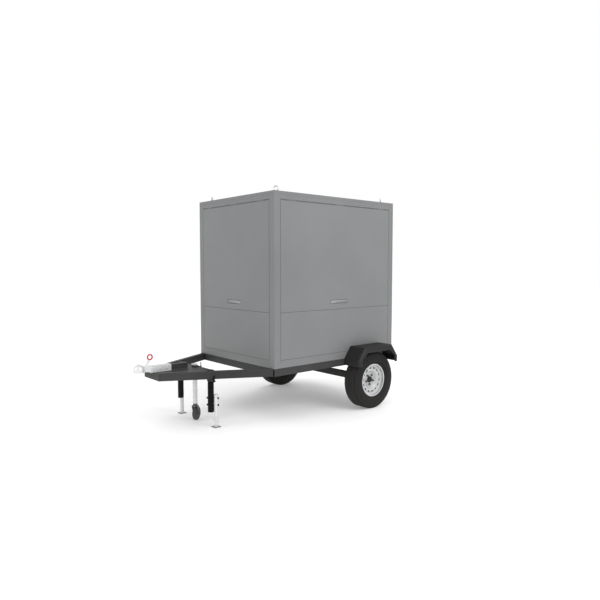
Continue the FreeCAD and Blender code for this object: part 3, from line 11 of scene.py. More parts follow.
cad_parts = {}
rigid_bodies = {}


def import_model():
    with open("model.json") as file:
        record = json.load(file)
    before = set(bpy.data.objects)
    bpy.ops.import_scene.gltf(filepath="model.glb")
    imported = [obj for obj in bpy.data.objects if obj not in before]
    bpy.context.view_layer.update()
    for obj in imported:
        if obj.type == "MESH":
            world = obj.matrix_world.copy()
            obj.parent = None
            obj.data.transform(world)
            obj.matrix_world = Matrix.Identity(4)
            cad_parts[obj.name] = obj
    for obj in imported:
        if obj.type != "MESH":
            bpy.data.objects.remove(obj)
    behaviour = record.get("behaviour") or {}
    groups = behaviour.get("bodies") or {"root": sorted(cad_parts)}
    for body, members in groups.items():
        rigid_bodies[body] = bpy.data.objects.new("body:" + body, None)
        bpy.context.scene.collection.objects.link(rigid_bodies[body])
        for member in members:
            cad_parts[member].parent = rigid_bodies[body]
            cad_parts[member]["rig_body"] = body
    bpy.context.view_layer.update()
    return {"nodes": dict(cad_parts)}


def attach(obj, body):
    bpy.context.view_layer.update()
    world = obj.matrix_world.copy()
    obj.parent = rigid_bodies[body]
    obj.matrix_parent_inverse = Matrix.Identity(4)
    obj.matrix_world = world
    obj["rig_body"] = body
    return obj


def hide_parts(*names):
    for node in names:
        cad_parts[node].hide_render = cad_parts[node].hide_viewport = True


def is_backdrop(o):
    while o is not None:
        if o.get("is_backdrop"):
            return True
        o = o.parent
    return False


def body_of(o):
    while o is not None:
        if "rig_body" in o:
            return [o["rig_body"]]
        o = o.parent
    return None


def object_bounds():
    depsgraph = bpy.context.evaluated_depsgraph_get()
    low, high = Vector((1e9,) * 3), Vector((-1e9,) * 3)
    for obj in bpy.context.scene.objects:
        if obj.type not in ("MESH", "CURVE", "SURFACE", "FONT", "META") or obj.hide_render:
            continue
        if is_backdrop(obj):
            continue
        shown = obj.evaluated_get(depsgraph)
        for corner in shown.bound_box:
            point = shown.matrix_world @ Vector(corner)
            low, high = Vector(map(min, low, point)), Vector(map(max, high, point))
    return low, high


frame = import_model()
nodes = frame["nodes"]

# ------------------------------------------------------------------ camera, floor and light
# A plain studio: a pale floor that runs into a white surround, one large soft light high on
# the left of the machine and a weaker one low ahead of it.
scene = bpy.context.scene
EYE = Vector((3.730, 5.057, 1.630))
HEADING, DIP = math.radians(49.21), math.radians(3.54)
camera = bpy.data.objects.new("camera", bpy.data.cameras.new("camera"))
scene.collection.objects.link(camera)
camera.location = EYE
aim = -Vector((math.cos(HEADING) * math.cos(DIP), math.sin(HEADING) * math.cos(DIP),
               math.sin(DIP)))
camera.rotation_mode = "QUATERNION"
camera.rotation_quaternion = aim.to_track_quat("-Z", "Y")
camera.data.sensor_width = 36.0
camera.data.lens = 32.94
camera.data.clip_end = 200.0
scene.camera = camera
scene.view_settings.view_transform = "Standard"

FLOOR_HALF = 40.0
floor_mesh = bpy.data.meshes.new("floor")
floor_mesh.from_pydata([(x * FLOOR_HALF, y * FLOOR_HALF, 0.0) for x, y in
                        ((-1, -1), (1, -1), (1, 1), (-1, 1))], [], [(0, 1, 2, 3)])
floor = bpy.data.objects.new("floor", floor_mesh)
scene.collection.objects.link(floor)
pale = bpy.data.materials.new("pale_floor")
pale.use_nodes = True
for label, value in (("Base Color", (0.82, 0.82, 0.82, 1)), ("Roughness", 0.9),
                     ("Emission Color", (1, 1, 1, 1)), ("Emission Strength", 0.2)):
    pale.node_tree.nodes["Principled BSDF"].inputs[label].default_value = value
floor_mesh.materials.append(pale)
floor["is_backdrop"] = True

world = bpy.data.worlds.new("surround")
scene.world = world
world.use_nodes = True
world.node_tree.nodes["Background"].inputs["Color"].default_value = (1.0, 1.0, 1.0, 1)
world.node_tree.nodes["Background"].inputs["Strength"].default_value = 1.0


def softbox(name, place, target, size, watts):
    lamp = bpy.data.lights.new(name, "AREA")
    lamp.shape = "RECTANGLE"
    lamp.size, lamp.size_y = size
    lamp.energy = watts
    box = bpy.data.objects.new(name, lamp)
    scene.collection.objects.link(box)
    box.location = place
    box.rotation_mode = "QUATERNION"
    box.rotation_quaternion = (Vector(target) - Vector(place)).to_track_quat("-Z", "Y")


softbox("key_light", (-1.5, 7.5, 5.5), (-0.6, 0, 1.2), (5, 3), 260)
softbox("front_light", (7.5, -1.0, 3.5), (0, 0, 1.0), (4, 3), 90)
softbox("rear_light", (-7.0, -5.0, 4.5), (-0.6, 0, 1.2), (4, 3), 120)


# ------------------------------------------------------------------ canopy shell
# Folded steel sheet: corner posts, sill, headers, fixed panels and roof, powder-coated grey.
# The doors carry the same coat.
def node_group(name, inputs, outputs):
    """An empty shader group with named sockets; returns the tree and its two end nodes."""
    tree = bpy.data.node_groups.new(name, "ShaderNodeTree")
    for label, kind, value in inputs:
        socket = tree.interface.new_socket(label, in_out="INPUT", socket_type=kind)
        if value is not None:
            socket.default_value = value
    for label, kind in outputs:
        tree.interface.new_socket(label, in_out="OUTPUT", socket_type=kind)
    return tree, tree.nodes.new("NodeGroupInput"), tree.nodes.new("NodeGroupOutput")


def add(tree, kind, settings=None, **values):
    """A node with its properties and its unlinked inputs set."""
    node = tree.nodes.new(kind)
    for name, value in (settings or {}).items():
        setattr(node, name, value)
    for name, value in values.items():
        socket = node.inputs[int(name[1:])] if name[1:].isdigit() else node.inputs[name]
        socket.default_value = value
    return node


FLOAT = "NodeSocketFloat"


def ramp(tree, value, low, high):
    """A 0 to 1 ramp of a value between two levels."""
    node = add(tree, "ShaderNodeMapRange", {"interpolation_type": "SMOOTHSTEP"}, _1=low, _2=high)
    tree.links.new(value, node.inputs[0])
    return node.outputs[0]


def math_node(tree, kind, first, second):
    node = tree.nodes.new("ShaderNodeMath")
    node.operation = kind
    for slot, item in zip(node.inputs, (first, second)):
        if isinstance(item, (int, float)):
            slot.default_value = item
        else:
            tree.links.new(item, slot)
    return node.outputs[0]


def place_of(tree):
    """Where a point lies in the machine's own frame."""
    return tree.nodes.new("ShaderNodeTexCoord").outputs["Object"]


def noise(tree, where, scale, detail):
    node = add(tree, "ShaderNodeTexNoise", Scale=scale, Detail=detail)
    tree.links.new(where, node.inputs["Vector"])
    return node.outputs["Fac"]


def wear_group():
    """Rubbed corners: a mask from the surface's sharpness, broken up by noise."""
    tree, start, end = node_group("edge_wear", [("Breakup", FLOAT, 60.0), ("Onset", FLOAT, 0.53)],
                                  [("Mask", FLOAT)])
    where = place_of(tree)
    sharp = tree.nodes.new("ShaderNodeNewGeometry").outputs["Pointiness"]
    spots = add(tree, "ShaderNodeTexNoise", Detail=6.0)
    tree.links.new(where, spots.inputs["Vector"])
    tree.links.new(start.outputs["Breakup"], spots.inputs["Scale"])
    lifted = math_node(tree, "ADD", sharp, math_node(tree, "MULTIPLY", spots.outputs["Fac"], 0.06))
    over = math_node(tree, "SUBTRACT", lifted, start.outputs["Onset"])
    tree.links.new(ramp(tree, over, 0.03, 0.07), end.inputs["Mask"])
    return tree


def dust_group():
    """Road dust: thicker low down and on faces that look up, in soft clouds."""
    tree, start, end = node_group("road_dust", [("Height", FLOAT, 0.9), ("Amount", FLOAT, 0.5)],
                                  [("Mask", FLOAT)])
    where = place_of(tree)
    split = tree.nodes.new("ShaderNodeSeparateXYZ")
    tree.links.new(where, split.inputs[0])
    low = math_node(tree, "DIVIDE", split.outputs["Z"], start.outputs["Height"])
    low = math_node(tree, "SUBTRACT", 1.0, low)
    face = tree.nodes.new("ShaderNodeSeparateXYZ")
    tree.links.new(tree.nodes.new("ShaderNodeNewGeometry").outputs["Normal"], face.inputs[0])
    up = ramp(tree, face.outputs["Z"], 0.4, 1.0)
    cloud = noise(tree, where, 5.0, 8.0)
    both = math_node(tree, "ADD", math_node(tree, "MAXIMUM", low, 0.0),
                     math_node(tree, "MULTIPLY", up, 0.5))
    mask = math_node(tree, "MULTIPLY", math_node(tree, "MULTIPLY", both, cloud),
                     start.outputs["Amount"])
    node = tree.nodes.new("ShaderNodeClamp")
    tree.links.new(mask, node.inputs[0])
    tree.links.new(node.outputs[0], end.inputs["Mask"])
    return tree


def coat_group():
    """A sprayed coat: slow shade drift, fine speckle and orange peel."""
    tree, start, end = node_group(
        "sprayed_coat", [("Peel", FLOAT, 220.0), ("Drift", FLOAT, 1.6)],
        [("Shade", FLOAT), ("Height", FLOAT)])
    where = place_of(tree)
    drift = tree.nodes.new("ShaderNodeTexNoise")
    peel = tree.nodes.new("ShaderNodeTexNoise")
    for node, label in ((drift, "Drift"), (peel, "Peel")):
        tree.links.new(where, node.inputs["Vector"])
        tree.links.new(start.outputs[label], node.inputs["Scale"])
    drift.inputs["Detail"].default_value = 5.0
    tree.links.new(ramp(tree, drift.outputs["Fac"], 0.3, 0.7), end.inputs["Shade"])
    tree.links.new(peel.outputs["Fac"], end.inputs["Height"])
    return tree


SAME_POINT, SAME_FACE = 0.00001, 0.2
WEAR, DUST, COAT = wear_group(), dust_group(), coat_group()
DUST_COLOUR = (0.30, 0.27, 0.23, 1)


def group_in(tree, group, **values):
    node = tree.nodes.new("ShaderNodeGroup")
    node.node_tree = group
    for name, value in values.items():
        node.inputs[name].default_value = value
    return node


def blend_colours(tree, mask, under, over):
    """Mixes two colours by a mask; each may be a colour or an output."""
    node = tree.nodes.new("ShaderNodeMix")
    node.data_type = "RGBA"
    tree.links.new(mask, node.inputs["Factor"])
    for slot, item in zip((node.inputs[6], node.inputs[7]), (under, over)):
        if isinstance(item, tuple):
            slot.default_value = item
        else:
            tree.links.new(item, slot)
    return node.outputs[2]


def blend_values(tree, mask, under, over):
    node = tree.nodes.new("ShaderNodeMix")
    tree.links.new(mask, node.inputs["Factor"])
    for slot, item in zip((node.inputs[2], node.inputs[3]), (under, over)):
        if isinstance(item, (int, float)):
            slot.default_value = item
        else:
            tree.links.new(item, slot)
    return node.outputs[0]


def new_material(name, **values):
    material = bpy.data.materials.new(name)
    material.use_nodes = True
    tree = material.node_tree
    shader = tree.nodes["Principled BSDF"]
    for label, value in values.items():
        shader.inputs[label.replace("_", " ")].default_value = value
    return material, tree, shader


def bump(tree, shader, height, strength, distance):
    node = add(tree, "ShaderNodeBump", Strength=strength, Distance=distance)
    tree.links.new(height, node.inputs["Height"])
    tree.links.new(node.outputs["Normal"], shader.inputs["Normal"])


def sprayed(name, dark, light, rough, chip, dust, dust_height=0.9, onset=0.55, peel=220.0,
            coat=0.0, shine=0.5):
    """A sprayed or powder-coated metal: shade drift, chipped corners and road dust."""
    material, tree, shader = new_material(name, Coat_Weight=coat, Coat_Roughness=0.25,
                                          Specular_IOR_Level=shine)
    layer = group_in(tree, COAT, Peel=peel)
    worn = group_in(tree, WEAR, Onset=onset)
    dirt = group_in(tree, DUST, Amount=dust, Height=dust_height)
    colour = blend_colours(tree, layer.outputs["Shade"], dark, light)
    colour = blend_colours(tree, worn.outputs["Mask"], colour, chip)
    colour = blend_colours(tree, dirt.outputs["Mask"], colour, DUST_COLOUR)
    tree.links.new(colour, shader.inputs["Base Color"])
    gloss = blend_values(tree, layer.outputs["Shade"], rough, rough + 0.07)
    tree.links.new(blend_values(tree, dirt.outputs["Mask"], gloss, 0.85),
                   shader.inputs["Roughness"])
    bump(tree, shader, layer.outputs["Height"], 0.12, 0.0006)
    return material


def piece_from(shape, name):
    """An object in the scene from a filled mesh, which is freed."""
    mesh = bpy.data.meshes.new(name)
    shape.to_mesh(mesh)
    shape.free()
    piece = bpy.data.objects.new(name, mesh)
    scene.collection.objects.link(piece)
    return piece


def softened(piece, edge, crease, rounds):
    """Rounds the edges that are sharper than the crease angle, in degrees."""
    soft = piece.modifiers.new("edges", "BEVEL")
    soft.width = edge
    soft.segments = rounds
    soft.limit_method = "ANGLE"
    soft.angle_limit = math.radians(crease)
    return soft


def dressed(node, material, slot, edge=0.0012, crease=32, rounds=2):
    """A clean copy of a CAD piece: joined faces, softened edges and smooth curved surfaces."""
    shape = bmesh.new()
    shape.from_mesh(nodes[node].data)
    bmesh.ops.remove_doubles(shape, verts=shape.verts, dist=SAME_POINT)
    bmesh.ops.dissolve_limit(shape, angle_limit=math.radians(SAME_FACE), verts=shape.verts,
                             edges=shape.edges)
    piece = piece_from(shape, node + "_shell")
    softened(piece, edge, crease, rounds).miter_outer = "MITER_ARC"
    piece.modifiers.new("flat_faces", "WEIGHTED_NORMAL").keep_sharp = True
    return settled(piece, material, slot, body_of(nodes[node])[0], node, crease=crease)


def settled(piece, material, slot, body, *replaced, crease=32):
    """Applies a piece's modifiers, gives it its finish and fixes it to its body."""
    piece.data.polygons.foreach_set("use_smooth", [True] * len(piece.data.polygons))
    bpy.context.view_layer.update()
    graph = bpy.context.evaluated_depsgraph_get()
    mesh = bpy.data.meshes.new_from_object(piece.evaluated_get(graph))
    weighted = "flat_faces" in piece.modifiers
    piece.modifiers.clear()
    piece.data = mesh
    if material:
        mesh.materials.clear()
        mesh.materials.append(material)
    if not weighted:
        mesh.polygons.foreach_set("use_smooth", [True] * len(mesh.polygons))
        mesh.set_sharp_from_angle(angle=math.radians(crease))
    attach(piece, body)
    if replaced:
        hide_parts(*replaced)
    return piece


canopy_paint = sprayed("canopy_paint", (0.150, 0.154, 0.157, 1), (0.166, 0.170, 0.173, 1), 0.42,
                       (0.26, 0.26, 0.26, 1), dust=0.16, dust_height=1.0, onset=0.6)
for name in ("corner_posts", "sill_frame", "frame_rails", "roof_cap"):
    dressed(name, canopy_paint, "canopy_paint", edge=0.0028, rounds=3)
door_steel = sprayed("door_steel", (0.156, 0.160, 0.163, 1), (0.170, 0.174, 0.177, 1), 0.40,
                     (0.27, 0.27, 0.27, 1), dust=0.14, dust_height=1.0, onset=0.6, peel=260.0)
dressed("fixed_panels", door_steel, "canopy_paint")

# ------------------------------------------------------------------ doors, hinges and handles
# Three folded steel doors in the canopy's own coat, hung from the header on pinned hinges.
# Each has a flat bar handle that lifts out of a pressed recess.
for side in ("left", "right", "front"):
    dressed("door_" + side, door_steel, "canopy_paint", edge=0.0015)
    dressed("handle_" + side, canopy_paint, "canopy_paint", edge=0.0015, rounds=3)
dressed("door_hinges", canopy_paint, "canopy_paint", edge=0.0004)

# ------------------------------------------------------------------ door and panel seals
# Grey rubber strips pressed into the gap round each door and fixed panel, just under flush.
# They hold to the canopy frame, so the doors leave them behind.
GAP, FACE_X, REAR_X, HALF = 0.005, 0.3285, -1.5015, 0.720
MIDDLE_X = (FACE_X + REAR_X) / 2
SEAM_Z, HEAD_Z, SILL_Z = 1.154, 2.304, 0.663
SEAL_SINK, SEAL_DEEP, DOOR_TOP = 0.0022, 0.012, 2.2935
SEAL_HALF = GAP * 0.56
HINGE_IN, HINGE_HALF = 0.15, 0.061


def bar(shape, low, high):
    """Adds an upright box between two corners."""
    size = [b - a for a, b in zip(low, high)]
    middle = [(a + b) / 2 for a, b in zip(low, high)]
    place = Matrix.Translation(middle) @ Matrix.Diagonal((*size, 1))
    return bmesh.ops.create_cube(shape, size=1.0, matrix=place)["verts"]


def made(name, build, material, slot, body="root", edge=0.0, crease=32):
    """A piece from a function that fills a mesh, with softened edges if asked for."""
    shape = bmesh.new()
    build(shape)
    bmesh.ops.recalc_face_normals(shape, faces=shape.faces)
    piece = piece_from(shape, name)
    if edge:
        softened(piece, edge, crease, 2)
    return settled(piece, material, slot, body, crease=crease)


def rubbery(name, dark, light, rough, grain=900.0, depth=0.0003, dust=0.35, dust_height=0.7):
    """Rubber, grained plastic or blackened steel: fine grain, slow bloom and dust."""
    material, tree, shader = new_material(name, Specular_IOR_Level=0.35)
    layer = group_in(tree, COAT, Peel=grain, Drift=6.0)
    dirt = group_in(tree, DUST, Amount=dust, Height=dust_height)
    colour = blend_colours(tree, layer.outputs["Shade"], dark, light)
    colour = blend_colours(tree, dirt.outputs["Mask"], colour, DUST_COLOUR)
    tree.links.new(colour, shader.inputs["Base Color"])
    tree.links.new(blend_values(tree, layer.outputs["Shade"], rough, min(rough + 0.12, 1.0)),
                   shader.inputs["Roughness"])
    bump(tree, shader, layer.outputs["Height"], 0.35, depth)
    return material


def seal_strips(shape):
    """On each closed side: two uprights, the seam, the bottom, and a run between the hinges."""
    for turn, reach, face in ((0, 0.835, HALF), (180, 0.835, HALF), (-90, 0.640, FACE_X),
                              (90, 0.640, -REAR_X)):
        outer = face - SEAL_SINK
        inner = outer - SEAL_DEEP
        verts = []
        for z in (SEAM_Z, SILL_Z + GAP / 2):
            verts += bar(shape, (-reach, inner, z - SEAL_HALF), (reach, outer, z + SEAL_HALF))
        for sign in (-1, 1):
            x = sign * (reach - GAP / 2)
            verts += bar(shape, (x - SEAL_HALF, inner, SILL_Z), (x + SEAL_HALF, outer, HEAD_Z))
        hinges = (-reach + HINGE_IN, 0.0, reach - HINGE_IN)
        starts = [-reach] + [x + HINGE_HALF for x in hinges]
        ends = [x - HINGE_HALF for x in hinges] + [reach]
        for start, end in zip(starts, ends):
            verts += bar(shape, (start, face - 0.016, DOOR_TOP), (end, face - 0.0055, HEAD_Z))
        shift = Vector((MIDDLE_X if turn in (0, 180) else 0.0, 0, 0))
        turned = Matrix.Translation(shift) @ Matrix.Rotation(math.radians(turn), 4, "Z")
        bmesh.ops.transform(shape, matrix=turned, verts=verts)


seal_rubber = rubbery("seal_rubber", (0.115, 0.117, 0.119, 1), (0.135, 0.137, 0.139, 1), 0.7,
                      dust=0.2)
made("door_seals", seal_strips, seal_rubber, "mount_rubber")

# ------------------------------------------------------------------ acoustic lining
# Charcoal foam with a waffle face, glued inside the doors and the fixed panels.
# It stands clear of the handle recesses and the strut brackets.
def waffle_foam():
    material, tree, shader = new_material("waffle_foam", Roughness=0.95, Specular_IOR_Level=0.1)
    where = place_of(tree)
    heights = []
    for axis in "XYZ":
        wave = add(tree, "ShaderNodeTexWave", {"bands_direction": axis, "wave_profile": "SIN"},
                   Scale=9.0, Distortion=0.0)
        tree.links.new(where, wave.inputs["Vector"])
        heights.append(wave.outputs["Fac"])
    cells = math_node(tree, "ADD", math_node(tree, "ADD", heights[0], heights[1]), heights[2])
    pores = noise(tree, where, 420.0, 3.0)
    # The colour lightens with the waffle's relief and darkens in its hollows: painted shade, mixed
    # with a real fine pore speckle.
    shade = math_node(tree, "MULTIPLY", ramp(tree, cells, 0.4, 2.4), pores)
    tree.links.new(blend_colours(tree, shade, (0.006, 0.006, 0.007, 1), (0.035, 0.035, 0.038, 1)),
                   shader.inputs["Base Color"])
    bump(tree, shader, math_node(tree, "ADD", cells, math_node(tree, "MULTIPLY", pores, 0.3)),
         0.9, 0.006)
    return material


foam = waffle_foam()
FOAM_LOW, FOAM_HIGH, SKIN_Y, SKIN_X = 1.30, 2.26, 0.7165, 0.325
for side, low, high in (("left", (-1.36, 0.692), (0.19, SKIN_Y)),
                        ("right", (-1.36, -SKIN_Y), (0.19, -0.692)),
                        ("front", (0.300, -0.585), (SKIN_X, 0.585))):
    made(side + "_door_lining", lambda shape: bar(shape, (*low, FOAM_LOW), (*high, FOAM_HIGH)),
         foam, "mount_rubber", "door_" + side, edge=0.006)


def panel_lining(shape):
    for sign in (-1, 1):
        near, far = sorted((sign * 0.697, sign * SKIN_Y))
        bar(shape, (-1.40, near, 0.69), (0.23, far, 1.10))
    bar(shape, (0.306, -0.62, 0.69), (SKIN_X, 0.62, 1.10))


made("panel_lining", panel_lining, foam, "mount_rubber", edge=0.004)

# ------------------------------------------------------------------ rear louvres
# Pressed steel blades over the air slots in the rear panels, leaning down and out.
# Each blade is welded behind its slot.
def array_tree(kind):
    """Repeats a source mesh round a circle, along a row or over a grid, in one finish."""
    tree = bpy.data.node_groups.new(kind + "_array", "GeometryNodeTree")
    face = tree.interface
    sockets = {"Source": "NodeSocketObject", "Finish": "NodeSocketMaterial",
               "Place": "NodeSocketVector", "Turn": "NodeSocketVector"}
    sockets |= {"ring": {"Count": "NodeSocketInt", "Radius": FLOAT},
                "row": {"Count": "NodeSocketInt", "Step": "NodeSocketVector"},
                "grid": {"Across": "NodeSocketInt", "Along": "NodeSocketInt",
                         "Width": FLOAT, "Length": FLOAT}}[kind]
    face.new_socket("Geometry", in_out="OUTPUT", socket_type="NodeSocketGeometry")
    for label, socket in sockets.items():
        face.new_socket(label, in_out="INPUT", socket_type=socket)
    start, end = tree.nodes.new("NodeGroupInput"), tree.nodes.new("NodeGroupOutput")
    given = start.outputs
    source = tree.nodes.new("GeometryNodeObjectInfo")
    tree.links.new(given["Source"], source.inputs["Object"])
    spread = tree.nodes.new("GeometryNodeInstanceOnPoints")
    if kind == "ring":
        points = tree.nodes.new("GeometryNodeMeshCircle")
        tree.links.new(given["Count"], points.inputs["Vertices"])
        tree.links.new(given["Radius"], points.inputs["Radius"])
        facing = tree.nodes.new("FunctionNodeAlignRotationToVector")
        facing.axis = "X"
        tree.links.new(tree.nodes.new("GeometryNodeInputPosition").outputs[0],
                       facing.inputs["Vector"])
        tree.links.new(facing.outputs[0], spread.inputs["Rotation"])
    elif kind == "row":
        points = tree.nodes.new("GeometryNodeMeshLine")
        tree.links.new(given["Count"], points.inputs["Count"])
        tree.links.new(given["Step"], points.inputs["Offset"])
    else:
        points = tree.nodes.new("GeometryNodeMeshGrid")
        for label, name in (("Across", "Vertices X"), ("Along", "Vertices Y"),
                            ("Width", "Size X"), ("Length", "Size Y")):
            tree.links.new(given[label], points.inputs[name])
    tree.links.new(points.outputs["Mesh"], spread.inputs["Points"])
    tree.links.new(source.outputs["Geometry"], spread.inputs["Instance"])
    real = tree.nodes.new("GeometryNodeRealizeInstances")
    tree.links.new(spread.outputs[0], real.inputs[0])
    move = tree.nodes.new("GeometryNodeTransform")
    tree.links.new(real.outputs[0], move.inputs["Geometry"])
    tree.links.new(given["Place"], move.inputs["Translation"])
    tree.links.new(given["Turn"], move.inputs["Rotation"])
    paint = tree.nodes.new("GeometryNodeSetMaterial")
    tree.links.new(move.outputs[0], paint.inputs["Geometry"])
    tree.links.new(given["Finish"], paint.inputs["Material"])
    tree.links.new(paint.outputs[0], end.inputs[0])
    return tree


ARRAYS = {kind: array_tree(kind) for kind in ("ring", "row", "grid")}


def repeated(name, kind, build, material, slot, body, place, turn=(0, 0, 0), edge=0.0,
             **values):
    """A piece made of one small shape repeated; turn is in degrees."""
    shape = bmesh.new()
    build(shape)
    bmesh.ops.recalc_face_normals(shape, faces=shape.faces)
    if edge:
        bmesh.ops.bevel(shape, geom=shape.edges, offset=edge, segments=2, affect="EDGES",
                        clamp_overlap=True)
    mesh = bpy.data.meshes.new(name + "_unit")
    shape.to_mesh(mesh)
    shape.free()
    unit = bpy.data.objects.new(name + "_unit", mesh)
    piece = bpy.data.objects.new(name, bpy.data.meshes.new(name))
    scene.collection.objects.link(piece)
    spread = piece.modifiers.new("spread", "NODES")
    tree = ARRAYS[kind]
    spread.node_group = tree
    values |= {"Source": unit, "Finish": material, "Place": Vector(place),
               "Turn": Vector([math.radians(angle) for angle in turn])}
    keys = {item.name: item.identifier for item in tree.interface.items_tree
            if item.in_out == "INPUT"}
    for label, value in values.items():
        spread[keys[label]] = value
    settled(piece, None, slot, body)
    bpy.data.objects.remove(unit)


def louvre_blade(shape):
    verts = bar(shape, (-0.0008, -0.152, -0.0125), (0.0008, 0.152, 0.0125))
    bmesh.ops.rotate(shape, cent=(0, 0, 0), matrix=Matrix.Rotation(math.radians(-38), 3, "Y"),
                     verts=verts)


for row, (low, step) in enumerate(((0.668, 0.0605), (1.156, 0.1429))):
    for column, y in enumerate((-0.394, 0.0, 0.394)):
        repeated(f"louvres_{row}_{column}", "row", louvre_blade, door_steel, "canopy_paint",
                 "root", (REAR_X + 0.0105, y, low + step), Count=7, Step=Vector((0, 0, step)))

# ------------------------------------------------------------------ roof grille and lifting eyes
# A black steel grille over the hot-air outlet in the roof, and four zinc-plated lifting eyes
# screwed into threaded bosses in the roof corners.
black_enamel = sprayed("black_enamel", (0.010, 0.010, 0.011, 1), (0.016, 0.016, 0.017, 1), 0.42,
                       (0.09, 0.09, 0.09, 1), dust=0.15)
dressed("roof_grille", black_enamel, "black_enamel", edge=0.0006)


def plated(name, dark, light, rough, cells=55.0, metallic=0.85, grain=(90, 90, 12)):
    """Zinc on steel: crystal patches, faint drawn streaks and dulled hollows."""
    material, tree, shader = new_material(name, Metallic=metallic)
    where = place_of(tree)
    patches = add(tree, "ShaderNodeTexVoronoi", {"feature": "F1"}, Scale=cells, Randomness=1.0)
    tree.links.new(where, patches.inputs["Vector"])
    split = tree.nodes.new("ShaderNodeSeparateColor")
    tree.links.new(patches.outputs["Color"], split.inputs[0])
    stretched = add(tree, "ShaderNodeMapping", Scale=grain)
    tree.links.new(where, stretched.inputs["Vector"])
    streaks = noise(tree, stretched.outputs[0], 6.0, 5.0)
    worn = group_in(tree, WEAR, Onset=0.56)
    dirt = group_in(tree, DUST, Amount=0.12, Height=0.8)
    tone = math_node(tree, "ADD", math_node(tree, "MULTIPLY", split.outputs[0], 0.45),
                     math_node(tree, "MULTIPLY", streaks, 0.55))
    colour = blend_colours(tree, tone, dark, light)
    colour = blend_colours(tree, worn.outputs["Mask"], colour, (0.86, 0.86, 0.85, 1))
    colour = blend_colours(tree, dirt.outputs["Mask"], colour, DUST_COLOUR)
    tree.links.new(colour, shader.inputs["Base Color"])
    gloss = blend_values(tree, tone, rough + 0.14, rough)
    tree.links.new(gloss, shader.inputs["Roughness"])
    bump(tree, shader, tone, 0.12, 0.0004)
    return material


zinc = plated("bright_zinc", (0.60, 0.61, 0.62, 1), (0.80, 0.81, 0.82, 1), 0.34)
steel = plated("bright_steel", (0.52, 0.52, 0.52, 1), (0.66, 0.66, 0.65, 1), 0.24, cells=9.0)
dressed("lifting_eyes", steel, "stainless", edge=0.0008, crease=40)


def disc(shape, centre, radius, span, axis="Z", sides=32):
    """Adds a round bar along an axis between two places on it; centre gives the other two."""
    low, high = span
    turns = {"Z": Matrix.Identity(4), "X": Matrix.Rotation(math.radians(90), 4, "Y"),
             "Y": Matrix.Rotation(math.radians(-90), 4, "X")}
    middle = (low + high) / 2
    place = {"Z": (*centre, middle), "X": (middle, *centre),
             "Y": (centre[0], middle, centre[1])}[axis]
    return bmesh.ops.create_cone(shape, cap_ends=True, segments=sides, radius1=radius,
                                 radius2=radius, depth=high - low,
                                 matrix=Matrix.Translation(place) @ turns[axis])["verts"]


def eye_washers(shape):
    for x in (0.2185, -1.3915):
        for y in (-0.610, 0.610):
            disc(shape, (x, y), 0.026, (2.385, 2.388))


made("eye_washers", eye_washers, zinc, "stainless", edge=0.0006)

# ------------------------------------------------------------------ gas struts
# Black enamelled cylinders pinned to the corner posts, bright rods up to the doors.
# A rubber wiper closes each cylinder round its rod.
bright_rod = plated("bright_rod", (0.62, 0.62, 0.62, 1), (0.70, 0.70, 0.70, 1), 0.14, cells=4.0)
for side in ("left", "right", "front"):
    dressed("strut_tubes_" + side, black_enamel, "black_enamel", edge=0.0008)
    dressed("strut_rods_" + side, bright_rod, "galvanised", edge=0.0004)
STRUT_TOPS = {"left": ((-1.3995, 0.660), (0.2265, 0.660)),
              "right": ((-1.3995, -0.660), (0.2265, -0.660)),
              "front": ((0.2685, 0.618), (0.2685, -0.618))}
for side, places in STRUT_TOPS.items():
    def wipers(shape):
        for x, y in places:
            disc(shape, (x, y), 0.0095, (1.8885, 1.892))
    made("strut_wipers_" + side, wipers, seal_rubber, "black_enamel",
         "strut_cylinders_" + side, edge=0.0006)

# ------------------------------------------------------------------ chassis
# Welded steel box section: side rails, cross members and the plates that carry the axle,
# all in black chassis paint with weld beads left as they cooled.
chassis_paint = sprayed("chassis_paint", (0.030, 0.030, 0.031, 1), (0.042, 0.042, 0.043, 1),
                        0.46, (0.10, 0.10, 0.10, 1), dust=0.06, onset=0.58, peel=160.0, shine=0.16)
DROP_R, DROP_STEP = 0.0035, 0.0045
for name in ("side_rails", "cross_members", "axle_brackets"):
    dressed(name, chassis_paint, "chassis_paint", edge=0.003, rounds=3)


def bead_along(shape, start, finish):
    """Adds a weld bead between two points: overlapping drops."""
    start, finish = Vector(start), Vector(finish)
    count = max(4, int((finish - start).length / DROP_STEP))
    for index in range(count):
        place = start.lerp(finish, index / (count - 1))
        bmesh.ops.create_icosphere(shape, subdivisions=1, radius=DROP_R,
                                   matrix=Matrix.Translation(place))


def chassis_welds(shape):
    """Down both edges of each cross member, and round the front corners of the rails."""
    for sign in (-1, 1):
        inner_y, corner_y = sign * 0.6795, sign * 0.692
        for x in (-0.295, -0.255, -0.646, -0.606, -1.306, -1.266):
            bead_along(shape, (x, inner_y, 0.510), (x, inner_y, 0.582))
        bead_along(shape, (FACE_X, corner_y, 0.512), (FACE_X, corner_y, 0.580))
        for z in (0.584, 0.508):
            bead_along(shape, (0.330, sign * 0.640, z), (0.330, sign * 0.690, z))


weld_steel = sprayed("painted_weld", (0.020, 0.020, 0.021, 1), (0.034, 0.034, 0.035, 1), 0.5,
                     (0.08, 0.08, 0.08, 1), dust=0.15)
made("chassis_welds", chassis_welds, weld_steel, "chassis_paint")

# ------------------------------------------------------------------ axle
# A square beam with round drums and stub spindles, under two rubber springs. Plated bolts hold
# each spring to its seat on the beam.
dressed("axle_beam", chassis_paint, "chassis_paint", edge=0.003, rounds=3)
spring_rubber = rubbery("spring_rubber", (0.012, 0.012, 0.012, 1), (0.024, 0.024, 0.024, 1), 0.62)
dressed("axle_springs", spring_rubber, "mount_rubber", edge=0.0015)


def hexagon(shape, centre, across, span, axis):
    """Adds a hexagon head or nut."""
    disc(shape, centre, across / math.sqrt(3), span, axis, sides=6)


